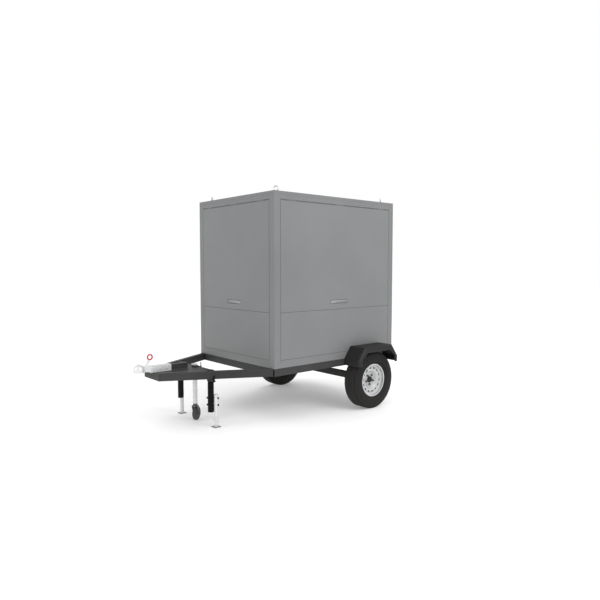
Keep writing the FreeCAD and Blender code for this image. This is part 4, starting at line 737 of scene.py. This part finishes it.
def seat_bolts(shape):
    for sign in (-1, 1):
        for x in (-1.037, -0.914):
            for y in (0.652, 0.704):
                hexagon(shape, (x, sign * y), 0.013, (0.3735, 0.3815), "Z")


made("seat_bolts", seat_bolts, zinc, "galvanised", "axle", edge=0.0006)

# ------------------------------------------------------------------ road wheels
# Commercial tyres with a ribbed block tread on silver steel discs, a black cap over each hub
# and five dark steel nuts. Brake dust greys the middle of the disc.
AXLE_X, HUB_Z, TRACK = -0.9755, 0.325, 0.8185
SIDES_OUT = (("left", 1), ("right", -1))


def lathe(shape, profile, centre, sign, steps=96):
    """Turns an outline of (radius, outward place) about a wheel's own axis."""
    verts = [shape.verts.new((radius, place * sign, 0)) for radius, place in profile]
    edges = [shape.edges.new(pair) for pair in zip(verts, verts[1:])]
    bmesh.ops.spin(shape, geom=verts + edges, cent=(0, 0, 0), axis=(0, 1, 0),
                   angle=math.radians(360), steps=steps, use_merge=True)
    bmesh.ops.remove_doubles(shape, verts=shape.verts, dist=0.00002)
    bmesh.ops.translate(shape, vec=centre, verts=shape.verts)


def from_hub(tree, where):
    """How far a point lies from the wheels' own axis."""
    split = tree.nodes.new("ShaderNodeSeparateXYZ")
    tree.links.new(where, split.inputs[0])
    over = math_node(tree, "SUBTRACT", split.outputs["X"], AXLE_X)
    high = math_node(tree, "SUBTRACT", split.outputs["Z"], HUB_Z)
    squares = math_node(tree, "ADD", math_node(tree, "MULTIPLY", over, over),
                        math_node(tree, "MULTIPLY", high, high))
    return math_node(tree, "SQRT", squares, 0)


def tyre_material():
    """Black rubber: fine moulded rings on the sidewall, greyer where the road rubs."""
    material, tree, shader = new_material("tyre_rubber", Specular_IOR_Level=0.14)
    where = place_of(tree)
    radius = from_hub(tree, where)
    rings = math_node(tree, "SINE", math_node(tree, "MULTIPLY", radius, 900.0), 0)
    rubbed = ramp(tree, radius, 0.316, 0.3245)
    grain = noise(tree, where, 320.0, 5.0)
    patches = noise(tree, where, 14.0, 5.0)
    base = blend_colours(tree, patches, (0.009, 0.009, 0.009, 1), (0.017, 0.017, 0.0165, 1))
    worn = math_node(tree, "MULTIPLY", rubbed, grain)
    base = blend_colours(tree, worn, base, (0.045, 0.043, 0.040, 1))
    dirt = group_in(tree, DUST, Amount=0.05, Height=0.5)
    tree.links.new(blend_colours(tree, dirt.outputs["Mask"], base, DUST_COLOUR),
                   shader.inputs["Base Color"])
    tree.links.new(blend_values(tree, patches, 0.62, 0.82), shader.inputs["Roughness"])
    relief = math_node(tree, "ADD", math_node(tree, "MULTIPLY", rings, 0.25), grain)
    bump(tree, shader, relief, 0.3, 0.0006)
    return material


tyre_rubber = tyre_material()
TREAD_R = 0.3172
TYRE = [(0.1785, 0.070), (0.186, 0.0705), (0.192, 0.074), (0.197, 0.0785), (0.206, 0.085),
        (0.222, 0.0905), (0.240, 0.0925), (0.2425, 0.0925), (0.244, 0.0915), (0.256, 0.0912),
        (0.2575, 0.0921), (0.262, 0.0921), (0.2635, 0.0908), (0.284, 0.0875), (0.302, 0.0825),
        (0.311, 0.0795), (0.3168, 0.0745), (TREAD_R, 0.066)]
RIBS = [(TREAD_R, 0.060), (0.3243, 0.0585), (0.3250, 0.040), (TREAD_R, 0.0385), (TREAD_R, 0.034),
        (0.3250, 0.0325), (0.3250, 0.0135), (TREAD_R, 0.012), (TREAD_R, 0.0075), (0.3250, 0.006)]


def rim_material():
    """Silver enamel that dulls to brown-grey round the hub."""
    material, tree, shader = new_material("wheel_silver", Metallic=0.3, Coat_Weight=0.15)
    where = place_of(tree)
    soot = math_node(tree, "SUBTRACT", 1.0, ramp(tree, from_hub(tree, where), 0.03, 0.15))
    soot = math_node(tree, "MULTIPLY", math_node(tree, "MULTIPLY", soot, 0.45),
                     noise(tree, where, 30.0, 6.0))
    layer = group_in(tree, COAT, Peel=300.0, Drift=9.0)
    base = blend_colours(tree, layer.outputs["Shade"], (0.46, 0.465, 0.47, 1),
                         (0.56, 0.565, 0.57, 1))
    tree.links.new(blend_colours(tree, soot, base, (0.10, 0.085, 0.07, 1)),
                   shader.inputs["Base Color"])
    tree.links.new(blend_values(tree, soot, 0.46, 0.85), shader.inputs["Roughness"])
    bump(tree, shader, layer.outputs["Height"], 0.08, 0.0005)
    return material


wheel_silver = rim_material()
cap_plastic = rubbery("black_plastic", (0.010, 0.010, 0.010, 1), (0.017, 0.017, 0.017, 1), 0.45,
                      grain=1200.0, depth=0.0002, dust=0.12)
# Matt black for the hub caps; the same black is painted shade on the ring behind the disc's slots.
black_cap_and_slot_shade = rubbery("black_cap_and_slot_shade", (0.003, 0.003, 0.003, 1), (0.006, 0.006, 0.006, 1), 0.55,
                    grain=1200.0, depth=0.0002, dust=0.03)
dark_steel = rubbery("dark_steel", (0.045, 0.045, 0.045, 1), (0.085, 0.085, 0.083, 1), 0.38,
                     grain=700.0, depth=0.0002, dust=0.03)
for side, sign in SIDES_OUT:
    centre = Vector((AXLE_X, sign * TRACK, HUB_Z))

    def carcass(shape):
        outline = TYRE + RIBS
        outline += [(r, -y) for r, y in reversed(outline)]
        lathe(shape, outline + [outline[0]], centre, sign)

    tyre = made("tyre_body_" + side, carcass, tyre_rubber, "tyre_rubber", "wheel_" + side,
                crease=50)
    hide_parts("tyre_" + side)
    for name, flank in (("inner", -1), ("outer", 1)):
        repeated(f"tread_{name}_{side}", "ring",
                 lambda shape: bar(shape, (-0.0035, -0.0080, -0.0055),
                                   (0.0072, 0.0080, 0.0055)),
                 tyre_rubber, "tyre_rubber", "wheel_" + side,
                 centre + Vector((0, flank * 0.067, 0)), (90, 0, 0), edge=0.0012, Count=84,
                 Radius=TREAD_R)
    dressed("rim_" + side, wheel_silver, "wheel_silver", edge=0.0012, crease=28)

    def hub_cap(shape):
        lathe(shape, [(0.00001, 0.0265), (0.020, 0.0262), (0.031, 0.0248), (0.0345, 0.0215),
                      (0.0355, 0.014), (0.0355, 0.0102)], centre, sign, 48)

    made("hub_cap_" + side, hub_cap, black_cap_and_slot_shade, "black_plastic", "wheel_" + side, crease=40)

    # A black ring just behind the disc's slots: painted shade, so the slots read as dark as the
    # wheel's shadowed inside.
    def slot_shade_ring(shape):
        lathe(shape, [(0.117, 0.0335), (0.146, 0.0335), (0.146, 0.0320), (0.117, 0.0320),
                      (0.117, 0.0335)], centre, sign, 64)

    made("rim_back_paint_" + side, slot_shade_ring, black_cap_and_slot_shade, "black_plastic", "wheel_" + side)
    repeated("wheel_nuts_" + side, "ring", lambda shape: disc(shape, (0, 0), 0.0125,
                                                              (-0.002, 0.016), sides=6),
             dark_steel, "stainless", "wheel_" + side, centre + Vector((0, sign * 0.0105, 0)),
             (-90 * sign, 18, 0), edge=0.0015, Count=5, Radius=0.056)

    def valve(shape):
        disc(shape, (0, 0), 0.0045, (0, 0.024), sides=16)
        disc(shape, (0, 0), 0.006, (-0.004, 0.004), sides=16)
        bmesh.ops.transform(shape, matrix=Matrix.Translation(
            centre + Vector((0.10, sign * 0.040, 0.098))) @ Matrix.Rotation(
                math.radians(-75 * sign), 4, "X"), verts=shape.verts)

    made("valve_" + side, valve, cap_plastic, "black_plastic", "wheel_" + side, edge=0.0006)

# ------------------------------------------------------------------ mudguards
# Pressed sheet bolted to the chassis rails, black chassis paint, a rolled lip along the edge.
guard_paint = sprayed("guard_paint", (0.012, 0.012, 0.012, 1), (0.019, 0.019, 0.019, 1), 0.5,
                      (0.06, 0.06, 0.06, 1), dust=0.05, onset=0.58, peel=180.0, shine=0.18)
dressed("mudguards", guard_paint, "chassis_paint", edge=0.0012, crease=25)


def guard_bolts(shape):
    for sign in (-1, 1):
        for x in (-1.24, -1.10, -0.90, -0.76):
            near, far = sorted((sign * 0.7205, sign * 0.7235))
            disc(shape, (x, 0.668), 0.011, (near, far), "Y", sides=24)


made("guard_bolts", guard_bolts, zinc, "galvanised", edge=0.0006)

# ------------------------------------------------------------------ drawbar
# An A-frame of box section with gusset and nose plates, welded to the front cross member.
for name in ("drawbar_legs", "drawbar_plates", "coupling_stub", "drawbar_clamps"):
    dressed(name, chassis_paint, "chassis_paint", edge=0.0025, rounds=3)


def drawbar_welds(shape):
    """Across the nose above and below, along the stub, and along the gusset's rear edge."""
    nose_x, gusset_x, plate_z = 1.3105, 0.800, 0.5765
    for sign in (-1, 1):
        for z in (0.577, 0.508):
            bead_along(shape, (nose_x, sign * 0.105, z), (nose_x, sign * 0.155, z))
        bead_along(shape, (0.93, sign * 0.0315, plate_z), (1.30, sign * 0.0315, plate_z))
        bead_along(shape, (gusset_x, sign * 0.375, plate_z), (gusset_x, sign * 0.040, plate_z))


made("drawbar_welds", drawbar_welds, weld_steel, "chassis_paint")

# ------------------------------------------------------------------ ball coupling
# A galvanised pressing bolted to the drawbar stub by two cross bolts, with a domed ball head.
# The release lever is a steel strip with a red coated finger ring.
galvanised = plated("galvanised", (0.56, 0.57, 0.58, 1), (0.80, 0.81, 0.82, 1), 0.42, cells=120.0,
                    metallic=0.55, grain=(20, 20, 20))
dressed("coupling_body", galvanised, "galvanised", edge=0.0012, crease=28)
dressed("coupling_lever", zinc, "galvanised", edge=0.0006)
red_coat = rubbery("red_grip", (0.42, 0.010, 0.012, 1), (0.55, 0.018, 0.018, 1), 0.34,
                   grain=500.0, depth=0.0002, dust=0.05)
LEVER_AT = Vector((1.3321, 0, 0.7287))


def finger_ring(shape):
    """A round loop of coated wire that stands in the lever's own plane."""
    steps, around, ring, thick = 64, 18, 0.025, 0.0068
    rows = []
    for step in range(steps):
        turn = math.tau * step / steps
        section = [(ring + thick * math.cos(math.tau * k / around),
                    thick * math.sin(math.tau * k / around)) for k in range(around)]
        rows.append([shape.verts.new((LEVER_AT.x + math.cos(turn) * reach, across,
                                      LEVER_AT.z + math.sin(turn) * reach))
                     for reach, across in section])
    for row, after in zip(rows, rows[1:] + rows[:1]):
        for k in range(around):
            shape.faces.new((row[k], row[(k + 1) % around], after[(k + 1) % around], after[k]))


made("lever_grip", finger_ring, red_coat, "red_plastic", "lever", crease=80)


def coupling_nuts(shape):
    """A nut and washer on each cross bolt, and the grease nipple on top of the head."""
    bolt_z, washer_face = 0.605, -0.0445
    for x in (1.1585, 1.2385):
        hexagon(shape, (x, bolt_z), 0.019, (-0.0535, washer_face), "Y")
        disc(shape, (x, bolt_z), 0.013, (washer_face, -0.0425), "Y")
        disc(shape, (x, bolt_z), 0.0035, (0.0435, 0.0440), "Y", sides=16)
    disc(shape, (1.4485, 0.0), 0.004, (0.6635, 0.6685), sides=12)


made("coupling_nuts", coupling_nuts, dark_steel, "galvanised", edge=0.0007)

# ------------------------------------------------------------------ jockey wheel
# A white-zinc tube in a black clamp, with a small rubber-tyred wheel in a dark fork.
dressed("jockey_tube", galvanised, "galvanised", edge=0.0008)
dressed("jockey_screw", chassis_paint, "chassis_paint", edge=0.0008)
fork_paint = sprayed("fork_paint", (0.035, 0.036, 0.037, 1), (0.050, 0.051, 0.052, 1), 0.45,
                     (0.16, 0.16, 0.16, 1), dust=0.15)
fork = dressed("jockey_fork", fork_paint, "chassis_paint", edge=0.001)


def recoloured(piece, material, wanted, cut_at=None):
    """Gives part of a piece a second finish, after a level cut if one is asked for."""
    if cut_at:
        shape = bmesh.new()
        shape.from_mesh(piece.data)
        bmesh.ops.bisect_plane(shape, geom=shape.verts[:] + shape.edges[:] + shape.faces[:],
                               plane_co=(0, 0, cut_at), plane_no=(0, 0, 1))
        shape.to_mesh(piece.data)
        shape.free()
    piece.data.materials.append(material)
    for face in piece.data.polygons:
        if wanted(face.center):
            face.material_index = 1


FORK_TOP = 0.183
recoloured(fork, galvanised, lambda place: place.z > FORK_TOP, FORK_TOP)
small_tyre = rubbery("jockey_rubber", (0.040, 0.041, 0.042, 1), (0.060, 0.061, 0.062, 1), 0.7,
                     dust=0.2, dust_height=0.3)
dressed("jockey_wheel", small_tyre, "jockey_rubber", edge=0.0015)


def tube_cap(shape):
    disc(shape, (0.8285, 0.0), 0.0245, (0.6035, 0.6065))


made("jockey_cap", tube_cap, zinc, "galvanised", "jockey_column", edge=0.0012)

# ------------------------------------------------------------------ prop stands
# Black posts held by clamp screws in the drawbar collars; plated legs with square foot plates
# are bolted behind them.
post_black = sprayed("post_black", (0.0015, 0.0015, 0.0015, 1), (0.003, 0.003, 0.003, 1), 0.5,
                     (0.03, 0.03, 0.03, 1), dust=0.03, shine=0.10)
sole_zinc = plated("sole_zinc", (0.22, 0.22, 0.22, 1), (0.34, 0.34, 0.34, 1), 0.5, metallic=0.4)
LEG_X, LEG_Y, LEG_R = 0.7925, 0.3525, 0.0206
for side, sign in SIDES_OUT:
    dressed("stand_post_" + side, post_black, "chassis_paint", edge=0.0012)
    dressed("stand_screw_" + side, post_black, "chassis_paint", edge=0.001)
    leg = dressed("stand_leg_" + side, galvanised, "galvanised", edge=0.001)
    axis = Vector((LEG_X, sign * LEG_Y))
    recoloured(leg, post_black, lambda place: place.z > 0.02 and (place.xy - axis).length > LEG_R)
    leg.data.materials.append(sole_zinc)
    for face in leg.data.polygons:
        if face.center.z < 0.0075:
            face.material_index = 2

# ------------------------------------------------------------------ rear lamps
# Two moulded lamp clusters on a chassis bracket, each lens split in red and amber.
def lens_material(name, colour, ribs):
    material, tree, shader = new_material(name, Roughness=0.12, Transmission_Weight=0.25,
                                          IOR=1.49)
    where = place_of(tree)
    wave = add(tree, "ShaderNodeTexWave", {"bands_direction": "Y"}, Scale=ribs)
    tree.links.new(where, wave.inputs["Vector"])
    tree.links.new(blend_colours(tree, wave.outputs["Fac"], colour,
                                 tuple(part * 0.55 for part in colour[:3]) + (1,)),
                   shader.inputs["Base Color"])
    bump(tree, shader, wave.outputs["Fac"], 0.4, 0.001)
    return material


red_lens = lens_material("red_lens", (0.42, 0.006, 0.006, 1), 40.0)
amber_lens = lens_material("amber_lens", (0.62, 0.20, 0.01, 1), 40.0)
dressed("rear_lamps", cap_plastic, "lamp_lens", edge=0.002)


def lens_row(low, high):
    def build(shape):
        for sign in (-1, 1):
            near, far = sorted((sign * low, sign * high))
            bar(shape, (-1.5055, near, 0.430), (-1.5005, far, 0.494))
    return build


made("red_lenses", lens_row(0.400, 0.500), red_lens, "lamp_lens", edge=0.002)
made("amber_lenses", lens_row(0.504, 0.610), amber_lens, "lamp_lens", edge=0.002)

# ------------------------------------------------------------------ base tank, cap and skid
# A black moulded fuel tank along the floor with the sprung steel skid on top of it.
dressed("base_tank", cap_plastic, "black_plastic", edge=0.008, rounds=3)
dressed("fuel_cap", cap_plastic, "black_plastic", edge=0.003, rounds=3)
dressed("genset_skid", chassis_paint, "chassis_paint", edge=0.003)
repeated("cap_grips", "ring", lambda shape: bar(shape, (-0.0015, -0.0025, -0.012),
                                                (0.0015, 0.0025, 0.012)),
         cap_plastic, "black_plastic", "fuel_cap", (-0.2865, 0.370, 1.190), edge=0.0007,
         Count=24, Radius=0.0425)

# ------------------------------------------------------------------ battery
# A black case with lead posts, clamped under a steel strap; one red and one black cable.
dressed("battery", cap_plastic, "black_plastic", edge=0.003)


def cable(name, points, radius, material, slot):
    """A round cable or hose through points, smoothed."""
    curve = bpy.data.curves.new(name, "CURVE")
    curve.dimensions = "3D"
    curve.bevel_depth = radius
    curve.bevel_resolution = 5
    curve.resolution_u = 10
    curve.use_fill_caps = True
    line = curve.splines.new("BEZIER")
    line.bezier_points.add(len(points) - 1)
    for knot, place in zip(line.bezier_points, points):
        knot.co = place
        knot.handle_left_type = knot.handle_right_type = "AUTO"
    piece = bpy.data.objects.new(name, curve)
    scene.collection.objects.link(piece)
    bpy.context.view_layer.update()
    graph = bpy.context.evaluated_depsgraph_get()
    mesh = bpy.data.meshes.new_from_object(piece.evaluated_get(graph))
    solid = bpy.data.objects.new(name + "_run", mesh)
    scene.collection.objects.link(solid)
    bpy.data.objects.remove(piece)
    settled(solid, material, slot, "root", crease=60)


lead = plated("lead", (0.20, 0.20, 0.21, 1), (0.32, 0.32, 0.33, 1), 0.55, cells=80.0)


def battery_clamps(shape):
    for x in (-0.0415, 0.1185):
        disc(shape, (x, 0.440), 0.014, (0.884, 0.896), sides=24)
        bar(shape, (x - 0.006, 0.450, 0.886), (x + 0.006, 0.478, 0.894))


made("battery_clamps", battery_clamps, lead, "galvanised", edge=0.0012)
cable("battery_lead_red", [(-0.0415, 0.478, 0.890), (-0.045, 0.52, 0.93), (-0.10, 0.46, 1.02),
                           (-0.20, 0.30, 1.00), (-0.24, 0.20, 0.97)], 0.006, red_coat,
      "red_plastic")
hose_rubber = rubbery("hose_rubber", (0.010, 0.010, 0.010, 1), (0.02, 0.02, 0.02, 1), 0.6)
cable("battery_lead_black", [(0.1185, 0.478, 0.890), (0.13, 0.52, 0.92), (0.12, 0.42, 0.93),
                             (0.10, 0.30, 0.89)], 0.006, hose_rubber, "black_plastic")

# ------------------------------------------------------------------ engine
# Cast crankcase, head and covers in dark blue engine enamel, bolted on the skid.
# The fan is black moulded plastic and the air filter a black canister.
engine_paint = sprayed("engine_paint", (0.012, 0.040, 0.085, 1), (0.018, 0.055, 0.110, 1), 0.36,
                       (0.16, 0.16, 0.16, 1), dust=0.10, peel=90.0, coat=0.3)
dressed("engine_block", engine_paint, "engine_castings", edge=0.006, rounds=3)
dressed("engine_fan", cap_plastic, "black_plastic", edge=0.001)
dressed("air_filter", cap_plastic, "black_plastic", edge=0.004)
repeated("cover_bolts", "grid", lambda shape: disc(shape, (0, 0), 0.008, (0, 0.007), sides=6),
         zinc, "galvanised", "root", (-0.3565, -0.010, 1.600), edge=0.0008,
         Across=6, Along=2, Width=0.44, Length=0.15)
repeated("sump_bolts", "row", lambda shape: disc(shape, (0, 0), 0.007, (-0.137, -0.130), "Y",
                                                 sides=6),
         zinc, "galvanised", "root", (-0.55, 0, 1.07), edge=0.0006, Count=8,
         Step=Vector((0.057, 0, 0)))


def filters(shape):
    for x in (-0.42, -0.31):
        disc(shape, (x, 0.235), 0.042, (1.04, 1.19), sides=40)
        disc(shape, (x, 0.235), 0.034, (1.19, 1.21), sides=40)
    bar(shape, (-0.46, 0.190, 1.21), (-0.27, 0.262, 1.235))


filter_paint = sprayed("filter_paint", (0.42, 0.41, 0.38, 1), (0.50, 0.49, 0.46, 1), 0.35,
                       (0.6, 0.6, 0.6, 1), dust=0.1)
made("engine_filters", filters, filter_paint, "engine_castings", edge=0.003)


def pulleys(shape):
    for place, radius in (((0.0, 1.200), 0.085), ((-0.185, 1.330), 0.038)):
        disc(shape, place, radius, (-0.0065, 0.012), "X", sides=48)
        disc(shape, place, radius * 0.4, (0.012, 0.020), "X", sides=32)


pulley_steel = plated("pulley_steel", (0.22, 0.22, 0.22, 1), (0.34, 0.34, 0.34, 1), 0.35)
made("belt_pulleys", pulleys, pulley_steel, "engine_castings", edge=0.002)
cable("radiator_hose", [(-0.10, 0.05, 1.545), (-0.04, 0.10, 1.60), (0.02, 0.16, 1.665)],
      0.024, hose_rubber, "black_plastic")
cable("return_hose", [(-0.12, -0.20, 1.05), (-0.05, -0.28, 1.00), (0.01, -0.285, 0.945)],
      0.022, hose_rubber, "black_plastic")
for index in range(4):
    x = -0.57 + 0.13 * index
    cable(f"fuel_pipe_{index}", [(x, 0.122, 1.50), (x, 0.150, 1.56), (x, 0.175, 1.48),
                                 (-0.37 + 0.02 * index, 0.196, 1.34)], 0.0035, steel,
          "stainless")

# ------------------------------------------------------------------ exhaust
# A black heat-painted silencer over the engine, held in two plated straps.
heat_paint = sprayed("heat_paint", (0.020, 0.018, 0.017, 1), (0.045, 0.036, 0.030, 1), 0.7,
                     (0.12, 0.08, 0.05, 1), dust=0.2, peel=60.0)
dressed("silencer", heat_paint, "black_enamel", edge=0.004)


def silencer_straps(shape):
    for x in (-0.56, -0.16):
        disc(shape, (-0.170, 2.055), 0.1172, (x, x + 0.03), "X", sides=64)
        disc(shape, (-0.170, 2.055), 0.1165, (x + 0.004, x + 0.026), "X", sides=64)


made("silencer_straps", silencer_straps, zinc, "galvanised", edge=0.0006, crease=30)

# ------------------------------------------------------------------ generator end
# The generator's cast frame with a slotted end bell and a terminal box on top.
dressed("generator_end", engine_paint, "engine_castings", edge=0.006, rounds=3)
# The end bell's slots are thin black bars laid on its face: painted shade standing in for the dark
# openings.
slot_painted_shade = rubbery("slot_shade_black", (0.004, 0.004, 0.004, 1), (0.006, 0.006, 0.006, 1), 0.9)
repeated("bell_slots", "ring", lambda shape: bar(shape, (-0.035, -0.006, -0.001),
                                                 (0.035, 0.006, 0.001)),
         slot_painted_shade, "black_plastic", "root", (-1.3670, 0, 1.200), (0, 90, 0), Count=20,
         Radius=0.140)
repeated("box_screws", "grid", lambda shape: disc(shape, (0, 0), 0.006, (0, 0.004), sides=20),
         zinc, "galvanised", "root", (-1.0765, 0, 1.580), edge=0.0008, Across=2, Along=2,
         Width=0.30, Length=0.30)
repeated("frame_ribs", "ring", lambda shape: bar(shape, (-0.001, -0.003, -0.24),
                                                 (0.008, 0.003, 0.24)),
         engine_paint, "engine_castings", "root", (-1.0215, 0, 1.200), (0, 90, 0), edge=0.001,
         Count=48, Radius=0.235)

# ------------------------------------------------------------------ radiator
# A black-enamelled cooler with a pressed top tank, thin vertical fins and a filler cap.
dressed("radiator", black_enamel, "black_enamel", edge=0.003)
repeated("radiator_fins", "row", lambda shape: bar(shape, (0.169, -0.0007, 0.955),
                                                   (0.172, 0.0007, 1.63)),
         black_enamel, "black_enamel", "root", (0, -0.318, 0), Count=107,
         Step=Vector((0, 0.006, 0)))


def filler(shape):
    disc(shape, (0.0835, -0.20), 0.026, (1.710, 1.722), sides=40)
    disc(shape, (0.0835, -0.20), 0.034, (1.722, 1.734), sides=40)


made("radiator_cap", filler, zinc, "galvanised", edge=0.002)

# ------------------------------------------------------------------ control cabinet
# A powder-coated steel cabinet behind the left door: a display, two dials, a row of
# breakers and four sockets with blue and red spring lids.
cabinet_paint = sprayed("cabinet_paint", (0.030, 0.031, 0.033, 1), (0.040, 0.041, 0.043, 1), 0.45,
                        (0.12, 0.12, 0.12, 1), dust=0.05, peel=420.0)
dressed("control_panel", cabinet_paint, "black_plastic", edge=0.0025)
PANEL_X, BOARD_Y, PANEL_LOW, PANEL_HIGH = -1.3915, 0.570, 1.430, 1.990
DISPLAY_Y = BOARD_Y + 0.0075
FIRST_DIAL = (PANEL_X + 0.255, DISPLAY_Y, PANEL_HIGH - 0.079)
FIRST_BREAKER = (PANEL_X + 0.085, BOARD_Y + 0.014, PANEL_LOW + 0.230)
BREAKERS, BREAKER_STEP, DIAL_STEP = 15, Vector((0.0257, 0, 0)), Vector((0, 0, -0.060))
screen, tree, shader = new_material("screen_glass", Roughness=0.05, Coat_Weight=1.0)
shade = noise(tree, place_of(tree), 12.0, 2.0)
tree.links.new(blend_colours(tree, shade, (0.004, 0.010, 0.012, 1), (0.010, 0.022, 0.026, 1)),
               shader.inputs["Base Color"])


def screen_build(shape):
    bar(shape, (PANEL_X + 0.075, DISPLAY_Y, PANEL_HIGH - 0.170),
        (PANEL_X + 0.225, BOARD_Y + 0.0095, PANEL_HIGH - 0.068))


made("display_screen", screen_build, screen, "black_plastic", edge=0.001)
repeated("display_keys", "row", lambda shape: bar(shape, (-0.009, 0.0, -0.006),
                                                  (0.009, 0.0035, 0.006)),
         seal_rubber, "mount_rubber", "root", (PANEL_X + 0.085, DISPLAY_Y, PANEL_HIGH - 0.200),
         edge=0.0012, Count=6, Step=Vector((0.036, 0, 0)))
dial_face, tree, shader = new_material("dial_face", Roughness=0.3, Coat_Weight=1.0,
                                       Coat_Roughness=0.02)
speck = noise(tree, place_of(tree), 500.0, 2.0)
tree.links.new(blend_colours(tree, speck, (0.74, 0.74, 0.71, 1), (0.80, 0.80, 0.77, 1)),
               shader.inputs["Base Color"])
repeated("dial_rims", "row", lambda shape: disc(shape, (0, 0), 0.026, (0, 0.010), "Y", sides=48),
         cap_plastic, "black_plastic", "root", FIRST_DIAL, edge=0.0015, Count=2,
         Step=DIAL_STEP)
repeated("dial_faces", "row", lambda shape: disc(shape, (0, 0), 0.021, (0.009, 0.0104), "Y",
                                                 sides=48),
         dial_face, "black_plastic", "root", FIRST_DIAL, Count=2, Step=DIAL_STEP)
repeated("breaker_toggles", "row", lambda shape: bar(shape, (-0.006, 0.0, -0.012),
                                                     (0.006, 0.012, 0.012)),
         cap_plastic, "black_plastic", "root", FIRST_BREAKER, edge=0.0018, Count=BREAKERS,
         Step=BREAKER_STEP)
breaker_face = rubbery("breaker_plastic", (0.52, 0.52, 0.50, 1), (0.60, 0.60, 0.58, 1), 0.4,
                       dust=0.03)
repeated("breaker_bodies", "row", lambda shape: bar(shape, (-0.0115, 0.0, -0.038),
                                                    (0.0115, 0.0025, 0.038)),
         breaker_face, "black_plastic", "root", FIRST_BREAKER, edge=0.0008, Count=BREAKERS,
         Step=BREAKER_STEP)
blue_cap = rubbery("blue_lid", (0.008, 0.060, 0.26, 1), (0.012, 0.085, 0.34, 1), 0.35, dust=0.03)
for index in range(4):
    lid, slot = (red_coat, "red_plastic") if index == 3 else (blue_cap, "black_plastic")

    def socket_lid(shape):
        x = PANEL_X + 0.090 + 0.120 * index
        disc(shape, (x, PANEL_LOW + 0.100), 0.0345, (BOARD_Y + 0.0335, BOARD_Y + 0.041), "Y", 48)
        bar(shape, (x - 0.012, BOARD_Y + 0.030, PANEL_LOW + 0.132),
            (x + 0.012, BOARD_Y + 0.041, PANEL_LOW + 0.144))

    made(f"socket_lid_{index}", socket_lid, lid, slot, edge=0.002)

# ------------------------------------------------------------------ stop button and key
# A red mushroom head on its own stem, and a nickel key in a turned barrel.
stop_red = rubbery("stop_red", (0.50, 0.006, 0.008, 1), (0.60, 0.012, 0.012, 1), 0.22,
                   grain=300.0, depth=0.0001, dust=0.0)
dressed("stop_button", stop_red, "red_plastic", edge=0.004, rounds=4)
dressed("key_switch", steel, "stainless", edge=0.0008)
yellow, tree, shader = new_material("yellow_collar", Roughness=0.35)
tint = noise(tree, place_of(tree), 60.0, 3.0)
tree.links.new(blend_colours(tree, tint, (0.70, 0.46, 0.01, 1), (0.78, 0.52, 0.02, 1)),
               shader.inputs["Base Color"])


def collar(shape):
    outline = [(0.0095, 0.0078), (0.0240, 0.0078), (0.0240, 0.0084), (0.0234, 0.0088),
               (0.0095, 0.0088), (0.0095, 0.0078)]
    lathe(shape, outline, Vector((PANEL_X + 0.390, BOARD_Y, PANEL_HIGH - 0.100)), 1, 48)


made("button_collar", collar, yellow, "red_plastic", crease=30)

# ------------------------------------------------------------------ overall bounds of the machine
low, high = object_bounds()
